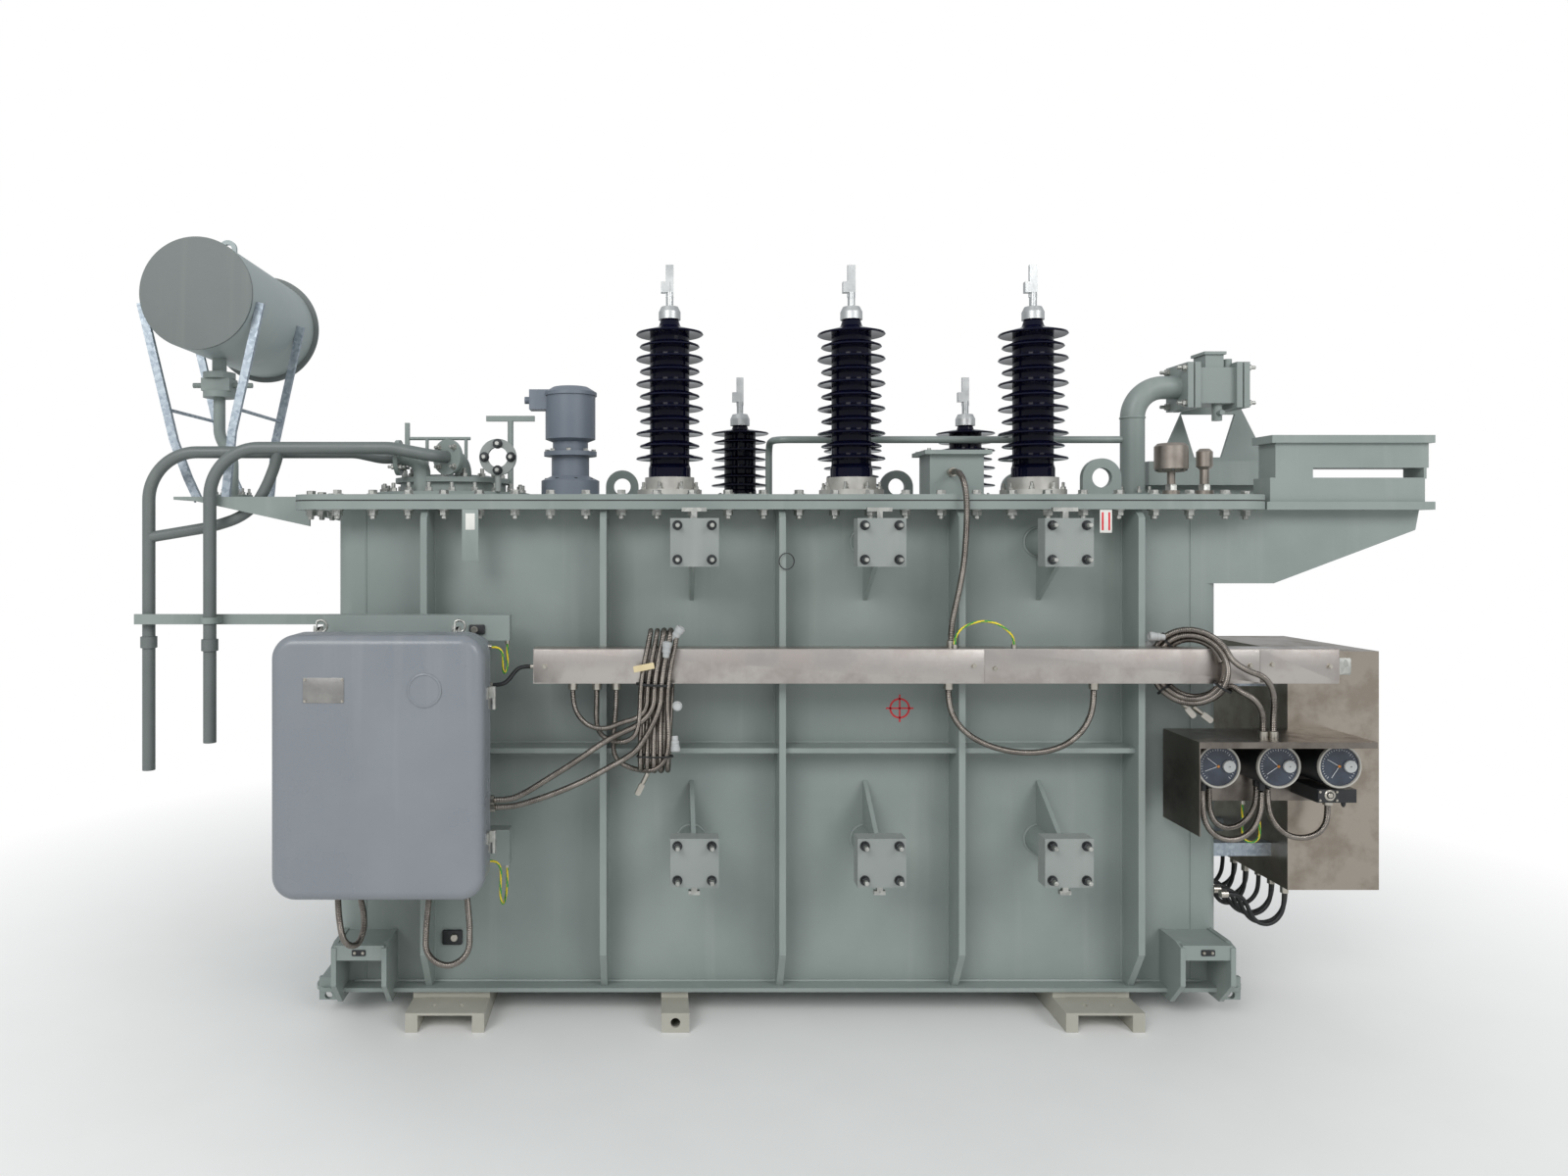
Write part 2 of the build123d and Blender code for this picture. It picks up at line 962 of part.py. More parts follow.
def strip(points, y, width, thickness):
    """A flat bar bent in its own plane along a line of points in X and Z."""
    bar = None
    for low, high in zip(points, points[1:]):
        way = (Vector(*high) - Vector(*low)).normalized()
        across = Vector(-way.Y, way.X) * width / 2
        a, b = Vector(*low), Vector(*high)
        corners = [a + across, b + across, b - across, a - across]
        run = plate_xz([(c.X, c.Y) for c in corners], y, thickness)
        bar = run if bar is None else bar + run
    for x, z in points[1:-1]:
        bar += rod((x, y - thickness / 2, z), (x, y + thickness / 2, z), width)
    return bar


def conservator_legs():
    """Two pairs of struts, the left ones bent in towards the shelf, with a rod between each two."""
    touch = (conservator_diameter + conservator_leg_width) / 2
    high = conservator_z - 30
    low = cover_top - shelf_thickness
    left = [(-touch, high), (-109, low + 244), (-53, low + 96), (-5, low - 8)]
    right = [(touch, high), (127, low + 283), (99, low - 8)]
    legs = []
    half = conservator_leg_thickness / 2
    for y in (leg_front_y, leg_rear_y):
        for line in (left, right):
            points = [(conservator_x + x, z) for x, z in line]
            bar = strip(points, y, conservator_leg_width, conservator_leg_thickness)
            near = (conservator_x, y - 50, conservator_z)
            far = (conservator_x, y + 50, conservator_z)
            bar -= rod(near, far, conservator_diameter)
            bar -= block((shelf_end, -end_x), (y - 50, y + 50), (cover_top - 60, cover_top))
            legs.append(bar)
    rod_z = conservator_z - 462
    for x in (-144, 150):
        near = (conservator_x + x, leg_front_y + half, rod_z)
        legs.append(rod(near, (conservator_x + x, leg_rear_y - half, rod_z), cross_rod))
    return group(legs)


def conservator_shelf():
    """A plate out from the rim with a web under each edge, and a slot for the drain line."""
    left = shelf_end
    edge = -end_x - rim_overhang
    shelf = block((left, edge), (-shelf_front, shelf_rear), (cover_top - shelf_thickness, cover_top))
    for y in (-shelf_front + shelf_web / 2, shelf_rear - shelf_web / 2):
        shelf += plate_xz(
            [
                (edge, cover_top - shelf_thickness),
                (left + 60, cover_top - shelf_thickness),
                (edge, rim_underside - 60),
            ],
            y,
            shelf_web,
        )
    return shelf - drain_line(pipe_diameter + 2 * drain_clearance)


def conservator_outlet():
    """A stub, a valve block, a drain pipe and a round flange on the shelf."""
    bottom = conservator_z - conservator_diameter / 2
    stub = rod((conservator_x, outlet_y, bottom - 60), (conservator_x, outlet_y, conservator_z), 58)
    stub -= rod(
        (conservator_x, outlet_y - 60, conservator_z),
        (conservator_x, outlet_y + 60, conservator_z),
        conservator_diameter,
    )
    valve = rod((conservator_x, outlet_y, bottom - 86), (conservator_x, outlet_y, bottom - 60), 130)
    valve += block(
        (conservator_x - 60, conservator_x + 60), (outlet_y - 45, outlet_y + 45), (bottom - 140, bottom - 86)
    )
    valve += rod((conservator_x, outlet_y, bottom - 166), (conservator_x, outlet_y, bottom - 140), 130)
    spindle_z = bottom - 113
    valve += rod((conservator_x - 110, outlet_y, spindle_z), (conservator_x + 140, outlet_y, spindle_z), 22)
    foot_x = conservator_x + 56
    flange_top = cover_top + 20
    pipe = bent_pipe(
        [
            (conservator_x, outlet_y, bottom - 166),
            (conservator_x, outlet_y, bottom - 330),
            (foot_x, outlet_y, bottom - 420),
            (foot_x, outlet_y, flange_top),
        ],
        [120, 120],
        pipe_diameter,
    )
    flange = rod((foot_x, outlet_y, cover_top), (foot_x, outlet_y, flange_top), outlet_flange)
    return stub + valve + pipe + flange


# Relay at the right end
def relay_riser():
    """A wide elbow up from the cover, with a flange at its foot."""
    flange = rod((relay_x, relay_y, cover_top), (relay_x, relay_y, cover_top + 28), 165)
    pipe = bent_pipe(
        [
            (relay_x, relay_y, cover_top + 28),
            (relay_x, relay_y, relay_axis_z),
            (relay_left, relay_y, relay_axis_z),
        ],
        [relay_bend],
        relay_pipe,
    )
    return flange + pipe


def vent_pipe():
    """A thin pipe from the riser along the cover to behind the middle short bushing."""
    side = relay_x - relay_pipe / 2 + 4
    pipe = bent_pipe(
        [
            (side, relay_y, vent_z),
            (vent_far_x, relay_y, vent_z),
            (vent_far_x, relay_y + vent_back, vent_z),
            (vent_far_x, relay_y + vent_back, cover_top),
        ],
        [vent_bend, vent_bend],
        vent_diameter,
    )
    return pipe - relay_riser()


def relay_body():
    """A cast body between two pairs of square flanges, with a terminal box on top and a tap below."""
    half = relay_flange / 2
    pitch = relay_flange_thickness + relay_flange_gap
    far = pitch + relay_flange_thickness + relay_body_length
    flanges = [
        block(
            (relay_left + near, relay_left + near + relay_flange_thickness),
            (relay_y - half, relay_y + half),
            (relay_axis_z - half, relay_axis_z + half),
        )
        for near in (0, pitch, far, far + pitch)
    ]
    inner = half - 20
    left = relay_left + pitch + relay_flange_thickness
    sides = (relay_y - inner, relay_y + inner)
    heights = (relay_axis_z - inner, relay_axis_z + inner)
    body = block((left, left + relay_body_length), sides, heights)
    neck_end = relay_left + far + pitch + 4
    neck = rod((relay_left + 4, relay_y, relay_axis_z), (neck_end, relay_y, relay_axis_z), relay_pipe)
    middle = left + relay_body_length / 2
    top = relay_axis_z + inner
    box = block((middle - 38, middle + 38), (relay_y - 60, relay_y + 40), (top, top + 56))
    lid = block((middle - 46, middle + 46), (relay_y - 68, relay_y + 48), (top + 56, top + 68))
    knob = rod((middle + 70, relay_y - 30, top), (middle + 70, relay_y - 30, top + 40), 34)
    tap_x = middle + 20
    tap_y = relay_y - 40
    tap = rod((tap_x, tap_y, relay_axis_z - inner - 70), (tap_x, tap_y, relay_axis_z), 40)
    nipple_z = relay_axis_z - inner - 40
    tap += rod((tap_x, relay_y - 84, nipple_z), (tap_x, tap_y, nipple_z), 22)
    relay = body + neck + box + lid + knob + tap
    for flange in flanges:
        relay += flange
    return relay


def sensor(x, y, pot, stem, low, high):
    """A round pot on a screwed stem that stands in a hexagon-sized boss."""
    boss = stem / 2 + 16
    shape = turned(
        [
            (0, cover_top),
            (boss, cover_top),
            (boss, cover_top + 26),
            (stem / 2, cover_top + 26),
            (stem / 2, low - 12),
            (pot / 2 - 14, low - 12),
            (pot / 2, low),
            (pot / 2, high - 12),
            (pot / 2 - 12, high),
            (0, high),
        ]
    )
    return Pos(x, y, 0) * shape


def lifting_lug(x, y):
    """A round-topped plate with a shackle hole."""
    radius = lifting_radius
    half = lifting_thickness / 2
    centre = cover_top + radius
    plate = block((x - radius, x + radius), (y - half, y + half), (cover_top, centre))
    plate += rod((x, y - half, centre), (x, y + half, centre), 2 * radius)
    return plate - rod((x, y - half, centre), (x, y + half, centre), lifting_hole)


def terminal_box():
    """A square box with an overhanging lid and a gland at its front."""
    x = box_middle_x
    half = box_width / 2
    near = -wall_y + box_edge
    lid_half = box_lid_width / 2
    top = cover_top + box_high
    box = block((x - half, x + half), (near, near + box_deep), (cover_top, top))
    return box + block((x - lid_half, x + lid_half), (near - 24, near + box_deep + 24), (top, top + box_lid))


# Right-end bracket
def end_bracket():
    """A deep gusset under a ledge, and two box beams that leave a long open gap."""
    y0 = -wall_y + bracket_plate / 2
    left = end_x - tank_corner
    out = bracket_right
    gusset = plate_xz(
        [
            (left, rim_underside),
            (out, rim_underside),
            (out - bracket_lip, rim_underside - bracket_nose_drop),
            (end_x + gusset_foot, bracket_bottom),
            (left, bracket_bottom),
        ],
        y0,
        bracket_plate,
    )
    gusset -= slab(0, tank_corner, 0, rim_top)
    edge = end_x + rim_overhang
    reach = (-wall_y - bracket_out, -wall_y + bracket_in)
    inner = (-wall_y - beam_out, -wall_y + beam_in)
    ledge = block((edge, out + bracket_lip), reach, (rim_underside, rim_top))
    low_top = rim_top + low_beam
    high_low = low_top + beam_gap
    high_top = high_low + high_beam
    post = end_x + post_left
    low_box = block((edge + 20, out - bracket_lip), inner, (rim_top, low_top))
    upright = block((post, post + post_width), inner, (low_top, high_low))
    beam = block((post, out), inner, (high_low, high_top))
    end_strip = block((out - 18, out - 8), inner, (low_top - 4, high_low + 4))
    lip = block((post - 20, out + bracket_lip), reach, (high_top, high_top + top_rim))
    return gusset + ledge + low_box + upright + beam + end_strip + lip


def cradle_frame():
    """A trapezoid plate with a window, which carries a conservator."""
    low = cover_top
    left = end_x + 30
    right = end_x + cradle_reach
    shoulder = low + cradle_shoulder
    top = low + cradle_height
    middle = (left + right) / 2 + 10
    plate = plate_xz(
        [
            (left, low),
            (right, low),
            (right, shoulder),
            (right - 133, top),
            (left + 190, top),
            (left + 74, shoulder),
            (left, shoulder),
        ],
        cradle_y,
        cradle_plate,
    )
    window = [
        (middle - 120, top - 52),
        (middle + 120, top - 52),
        (middle + 60, shoulder + 21),
        (middle - 60, shoulder + 21),
    ]
    plate -= plate_xz(window, cradle_y, 2 * cradle_plate)
    sides = (cradle_y - 60, cradle_y + 60)
    flange = block((left, right), sides, (low + 70, shoulder))
    foot = block((left - 50, right), sides, (low, low + 16))
    return plate + flange + foot


def control_cabinet():
    return block((box_left, box_right), (box_front, box_back), (box_bottom, box_top))


def cabinet_standoffs():
    """Arms that carry the stainless cabinet from the end wall."""
    arms = []
    half = standoff / 2
    for z in (box_bottom + 120, box_top - 120):
        for y in (box_front + 130, box_back - 130):
            arms.append(block((end_x, box_left), (y - half, y + half), (z - half, z + half)))
    return group(arms)


def gauge_hood():
    """An open-fronted hood of bent sheet, with one side panel."""
    sheet = hood_sheet
    top = block((hood_left, hood_right), (hood_front, box_front), (hood_top - sheet, hood_top))
    rear = block((hood_left, hood_right), (box_front - sheet, box_front), (hood_bottom, hood_top))
    side = block((hood_left, hood_left + sheet), (hood_front, box_front), (hood_side_bottom, hood_top))
    lip = block((hood_left, hood_right), (hood_front, hood_front + sheet), (hood_top - 22, hood_top))
    return top + rear + side + lip


def gauge_dials():
    """Three dial bodies with glands below, and a small meter box under the right one."""
    back = box_front - hood_sheet
    front = back - dial_depth
    dials = []
    for i, x in enumerate(dial_x):
        dial = rod((x, front, dial_z), (x, back, dial_z), dial_diameter)
        places = [(-dial_stub_spread, -20), (dial_stub_spread, 20), (0, 50)]
        for dx, dy in places[: (2, 3, 0)[i]]:
            y = (front + back) / 2 + dy
            dial += rod((x + dx, y, stub_bottom), (x + dx, y, dial_z), dial_stub)
        dials.append(dial)
    x = dial_x[2]
    half = meter_width / 2
    dials.append(block((x - half, x + half), (back - meter_depth, back), (meter_low, meter_high)))
    return group(dials)


# Cable trunk
def cable_trunk():
    return block((trunk_left, trunk_right), (trunk_face, -rib_face), (trunk_low, trunk_high))


# Drive cabinet
def cabinet_block(shrink, near, far):
    """A rounded block in the drive cabinet's outline, smaller all round by one value, between two depths."""
    width = cabinet_width - 2 * shrink
    height = cabinet_high - cabinet_low - 2 * shrink
    outline = Plane.XZ.offset(-far) * RectangleRounded(width, height, cabinet_corner - shrink)
    shape = extrude(outline, far - near)
    return Pos((cabinet_left + cabinet_right) / 2, 0, (cabinet_low + cabinet_high) / 2) * shape


def cabinet_housing():
    """A shell with a wider rounded collar where the door meets it."""
    collar = cabinet_split + cabinet_collar
    outer = cabinet_block(0, cabinet_split, collar) + cabinet_block(cabinet_inset, collar, cabinet_back)
    return outer - cabinet_block(cabinet_inset + cabinet_skin, cabinet_split, cabinet_back - cabinet_skin)


def rounded_pan(shrink):
    """A rounded block in the door's place, smaller all round by one value, rounded at the front."""
    pan = cabinet_block(shrink, cabinet_front + shrink, cabinet_split - door_gap)
    return fillet(pan.edges().group_by(Axis.Y)[0], door_rounding - shrink)


def cabinet_door():
    """A deep rounded pan, open towards the housing."""
    return rounded_pan(0) - rounded_pan(cabinet_skin)


def cabinet_brackets():
    """Two shelves between the ribs and the drive cabinet's back."""
    reach = (cabinet_back, -rib_face)
    high = cabinet_high - bracket_drop
    low = cabinet_low + bracket_lift
    top = block((bracket_start, bracket_end), reach, (high, high + bracket_height))
    bottom = block((bracket_start, bracket_end), reach, (low, low + bracket_low_height))
    return group([top, bottom])


def hinge_axis():
    return cabinet_right + hinge_gap, cabinet_split


def hinge_half(z, upper):
    """A leaf and knuckle; the lower half also holds the pin."""
    x, y = hinge_axis()
    half = hinge_height / 2
    heights = (z, z + half) if upper else (z - half, z - fit_gap)
    way = -1 if upper else 1
    near = y + way * 10
    depth = sorted((near, near + way * hinge_leaf))
    leaf = block((cabinet_right, cabinet_right + hinge_sheet), depth, heights)
    arm = block((cabinet_right, x + 4), sorted((near, near - way * hinge_sheet)), heights)
    knuckle = rod((x, y, heights[0]), (x, y, heights[1]), hinge_diameter)
    shape = leaf + arm + knuckle
    if upper:
        return shape - rod((x, y, z - 1), (x, y, z + half + 1), hinge_pin + 0.1)
    return shape + rod((x, y, z - half), (x, y, z + half), hinge_pin)


# Conduits and cables. Each hangs between two glands, on straight runs joined by tangent arcs.
up = Vector(0, 0, 1)
down = Vector(0, 0, -1)
front = Vector(0, -1, 0)
left = Vector(-1, 0, 0)
right = Vector(1, 0, 0)
cabinet_side = cabinet_right - cabinet_inset
cabinet_floor = cabinet_low + cabinet_inset
panel_face = box_front - hood_sheet
stub_y = panel_face - dial_depth / 2

# A conduit's two ends are each a point on a surface and the way that its gland looks, or a bare point.
steel_routes = {
    "riser": (
        ((659, -wall_y + box_edge, 2034), front),
        [
            (659, -712, 2034),
            (659, -775, 2012),
            (660, -818, 1962),
            (660, -832, 1890),
            (659, -826, 1800),
            (654, -818, 1700),
            (640, -816, 1612),
            (620, -824, 1535),
            (602, trunk_y, 1464),
        ],
        ((602, trunk_y, trunk_high), up),
    ),
    "trunk_loop": (
        ((592, trunk_y, trunk_low), down),
        [
            (592, trunk_y, 1195),
            (610, -837, 1135),
            (655, -840, 1080),
            (729, -842, 1038),
            (823, -843, 1014),
            (922, -843, 1012),
            (1008, -842, 1036),
            (1068, -840, 1083),
            (1102, -838, 1138),
            (1116, trunk_y, 1195),
        ],
        ((1116, trunk_y, trunk_low), down),
    ),
    "hank_upper": (
        ((cabinet_side, -930, 864), right),
        [
            (-985, -930, 864),
            (-930, -932, 884),
            (-838, -934, 942),
            (-735, -934, 1006),
            (-650, -926, 1066),
            (-580, -905, 1098),
        ],
        (hank_left, -905, 1098),
    ),
    "hank_lower": (
        ((cabinet_side, -900, 832), right),
        [
            (-985, -900, 832),
            (-925, -904, 846),
            (-815, -910, 884),
            (-710, -912, 930),
            (-628, -909, 975),
            (-578, -903, 1000),
        ],
        (hank_left, -903, 1000),
    ),
    "drop_left": (
        ((-762, trunk_y, trunk_low), down),
        [
            (-762, trunk_y, 1198),
            (-744, -850, 1148),
            (-700, -876, 1112),
            (-640, -896, 1106),
            (-585, -903, 1132),
        ],
        (hank_left, -903, 1132),
    ),
    "drop_middle": (
        ((-676, trunk_y, trunk_low), down),
        [
            (-676, trunk_y, 1196),
            (-678, -836, 1140),
            (-672, -842, 1096),
            (-648, -856, 1068),
            (-610, -878, 1060),
            (-570, -903, 1062),
        ],
        (hank_left, -903, 1062),
    ),
    "drop_right": (
        ((-605, trunk_y, trunk_low), down),
        [
            (-605, trunk_y, 1192),
            (-611, -836, 1124),
            (-615, -840, 1064),
            (-615, -843, 1012),
            (-597, -843, 981),
            (-566, -843, 963),
        ],
        (hank_left, -843, 963),
    ),
    "cabinet_left_loop": (
        ((-1549, -1035, cabinet_floor), down),
        [
            (-1549, -1035, 552),
            (-1544, -1038, 484),
            (-1530, -1035, 400),
            (-1503, -959, 358),
            (-1497, -883, 400),
            (-1508, -880, 484),
            (-1530, -885, 552),
        ],
        ((-1530, -885, cabinet_floor), down),
    ),
    "cabinet_right_loop": (
        ((-1251, -960, cabinet_floor), down),
        [
            (-1251, -960, 556),
            (-1256, -963, 496),
            (-1263, -966, 421),
            (-1264, -968, 333),
            (-1188, -972, 289),
            (-1113, -968, 333),
            (-1110, -964, 421),
            (-1117, -960, 496),
            (-1125, -955, 556),
        ],
        ((-1125, -955, cabinet_floor), down),
    ),
    "dial_loop_front": (
        (dial_x[0] - dial_stub_spread, stub_y - 20, stub_bottom),
        [
            (1520, -809, 824),
            (1526, -811, 762),
            (1552, -813, 714),
            (1602, -814, 690),
            (1656, -813, 694),
            (1704, -812, 728),
            (1730, -810, 786),
            (1735, -809, 830),
        ],
        (dial_x[1] - dial_stub_spread, stub_y - 20, stub_bottom),
    ),
    "dial_loop_rear": (
        (dial_x[0] + dial_stub_spread, stub_y + 20, stub_bottom),
        [
            (1564, -769, 828),
            (1569, -767, 778),
            (1591, -762, 738),
            (1634, -754, 716),
            (1684, -746, 722),
            (1725, -741, 752),
            (1751, -739, 798),
            (1757, -739, 834),
        ],
        (dial_x[1], stub_y + 50, stub_bottom),
    ),
    "meter_loop": (
        ((1990, -785, meter_low), down),
        [
            (1990, -785, 776),
            (1983, -784, 736),
            (1956, -781, 702),
            (1908, -777, 686),
            (1858, -774, 692),
            (1816, -771, 722),
            (1788, -769, 770),
            (1779, -769, 826),
        ],
        (dial_x[1] + dial_stub_spread, stub_y + 20, stub_bottom),
    ),
    "coil_tail_upper": (
        (1575.8, -924.3, 1318),
        [
            (1615, -940, 1318),
            (1660, -943, 1304),
            (1695, -930, 1274),
            (1718, -912, 1235),
            (1727, -900, 1190),
            (1728, -893, 1142),
        ],
        ((1728, -893, hood_top), up),
    ),
    "coil_tail_lower": (
        (1565.6, -915.8, 1258),
        [
            (1600, -929.5, 1241),
            (1638, -928, 1221),
            (1667, -917, 1192),
            (1686, -903, 1158),
            (1692, -893, 1130),
        ],
        ((1692, -893, hood_top), up),
    ),
}
lead_route = (
    ((cabinet_side, -880, 1262), right),
    [(-1015, -880, 1262), (-991, -871, 1273), (-966, -842, 1311), (-942, trunk_y, 1322)],
    ((trunk_left, trunk_y, 1322), left),
)
earth_routes = {
    "trunk_bond": (
        ((607, -862, trunk_high), up),
        [
            (607, -862, 1430),
            (630, -862, 1462),
            (680, -862, 1486),
            (740, -862, 1488),
            (790, -862, 1462),
            (819, -862, 1430),
        ],
        ((819, -862, trunk_high), up),
    ),
    "cabinet_bond_top": (
        ((cabinet_side, -905, 1400), right),
        [
            (-1027, -905, 1400),
            (-1013, -905, 1392),
            (-1005, -904, 1378),
            (-1003, -902, 1355),
            (-1006, -896, 1330),
            (-1006, -880, 1308),
            (-1003, -858, 1300),
            (-999, -836, 1310),
            (-998, -823, 1334),
            (-1000, -820, 1366),
        ],
        ((-1000, -820, cabinet_high - bracket_drop), down),
    ),
    "cabinet_bond_low": (
        ((cabinet_side, -960, 660), right),
        [
            (-1027, -960, 660),
            (-1013, -960, 652),
            (-1005, -959, 638),
            (-1003, -957, 612),
            (-1006, -953, 572),
            (-1007, -944, 530),
            (-1005, -920, 496),
            (-1003, -885, 484),
            (-1001, -850, 498),
            (-999, -828, 532),
            (-1000, -820, 570),
        ],
        ((-1000, -820, cabinet_low + bracket_lift), down),
    ),
    "hood_bond": (
        ((1725, box_front - hood_sheet / 2, hood_bottom), down),
        [
            (1725, -702, 764),
            (1723, -704, 712),
            (1724, -706, 664),
            (1756, -706, 646),
            (1788, -706, 664),
            (1789, -704, 712),
            (1787, -702, 764),
        ],
        ((1787, box_front - hood_sheet / 2, hood_bottom), down),
    ),
}


def cabinet_cable(i):
    """One of the cables that hang from the stainless cabinet and turn up to the end wall."""
    x = box_left + 17 + 12 * (i * 3 % 5)
    y = -650 + 53 * i
    dip = 6 * (i * 2 % 4)
    share = (x - 1772) / 158
    middle = [
        (x, y, 408),
        (x - 8 * share, y + 2, 368 - dip / 2),
        (x - 34 * share, y + 3, 336 - dip),
        (x - 74 * share, y + 2, 322 - dip),
        (x - 115 * share, y, 332 - dip),
        (x - 144 * share, y - 2, 362 - dip / 2),
        (1772, y - 1, 396),
        (1756, y, 424),
        (1728, y, 440),
    ]
    return ((x, y, box_bottom), down), middle, ((end_x, y, 440), right)


def end_point(end, length):
    """Where a cable meets its gland, and the gland's line, if it has one."""
    if len(end) == 3:
        return Vector(*end), None
    surface = Vector(*end[0])
    return surface + end[1] * length, surface


def cable_and_glands(name, route, diameter, gland_width, length):
    """A cable's solid, and the solids of the glands at its ends."""
    start, middle, finish = route
    ends = [end_point(start, length), end_point(finish, length)]
    points = [ends[0][0], *(Vector(*point) for point in middle), ends[1][0]]
    radii = round_bends(points)
    cable = bent_pipe(points, radii, diameter)
    line = FilletPolyline(*points, radius=radii)
    expected = math.pi * diameter**2 / 4 * line.length
    print(
        f"{name}: length {line.length:.0f}, least radius {min(radii):.0f} at diameter {diameter},",
        f"volume over expected {cable.volume / expected:.4f}",
    )
    stops = [(point, surface) for point, surface in ends if surface is not None]
    return cable, [rod(tuple(surface), tuple(point), gland_width) for point, surface in stops]


def hank_slot(near, far, low, high, x):
    """A tall slot across the trunk, rounded at both ends."""
    radius = (far - near) / 2
    middle = (far + near) / 2
    reach = (x, x + hank_width)
    slot = block(reach, (near, far), (low + radius, high - radius))
    for z in (low + radius, high - radius):
        slot += rod((x, middle, z), (x + hank_width, middle, z), 2 * radius)
    return slot


def cable_hank():
    """The outer shape of the conduit that is hung over the trunk in long turns."""
    top = trunk_high + hank_rise
    outer = hank_slot(trunk_face - 49, -wall_y - rail_depth - 2, hank_low, top, hank_left)
    inner = hank_slot(trunk_face - 6, -rib_face + 1, hank_low + hank_bundle, top - 30, hank_left)
    return outer - inner


def cable_coil():
    """The outer shape of the round coil that hangs on the trunk."""
    turn = math.radians(coil_turn)
    plane = Plane(origin=(coil_x, trunk_y, coil_z), z_dir=(math.cos(turn), math.sin(turn), 0))
    return plane * Torus(coil_ring / 2, coil_bundle / 2)


steel_cables = []
glands = []
for name, route in steel_routes.items():
    width = thin_conduit if name.startswith("drop") else conduit
    cable, ends = cable_and_glands(name, route, width, gland, gland_length)
    if name.startswith("coil"):
        cable -= cable_coil()
    steel_cables.append(cable)
    glands += ends
lead, lead_glands = cable_and_glands("lead", lead_route, lead_diameter, earth_lug, earth_lug_length)
glands += lead_glands
black_cables = [lead]
for i in range(cabinet_cables):
    name = f"cabinet_cable_{i}"
    cable, ends = cable_and_glands(name, cabinet_cable(i), black_cable, gland - 6, gland_length)
    black_cables.append(cable)
    glands += ends
earth_cables = []
for name, route in earth_routes.items():
    cable, ends = cable_and_glands(name, route, earth_wire, earth_lug, earth_lug_length)
    earth_cables.append(cable)
    glands += ends

tall_sizes = [tall_shed if i % 2 == 0 else tall_shed_small for i in range(tall_sheds)]
short_sizes = [short_shed if i % 2 == 0 else short_shed_small for i in range(short_sheds)]
tall_body = porcelain(
    tall_height, tall_barrel, tall_foot, tall_foot_height, tall_sizes, tall_pitch, tall_neck
)
short_body = porcelain(
    short_height, short_barrel, short_foot, short_foot_height, short_sizes, short_pitch, short_neck
)
neck_end = wall_y + neck_length
valve_end = neck_end + valve_thickness

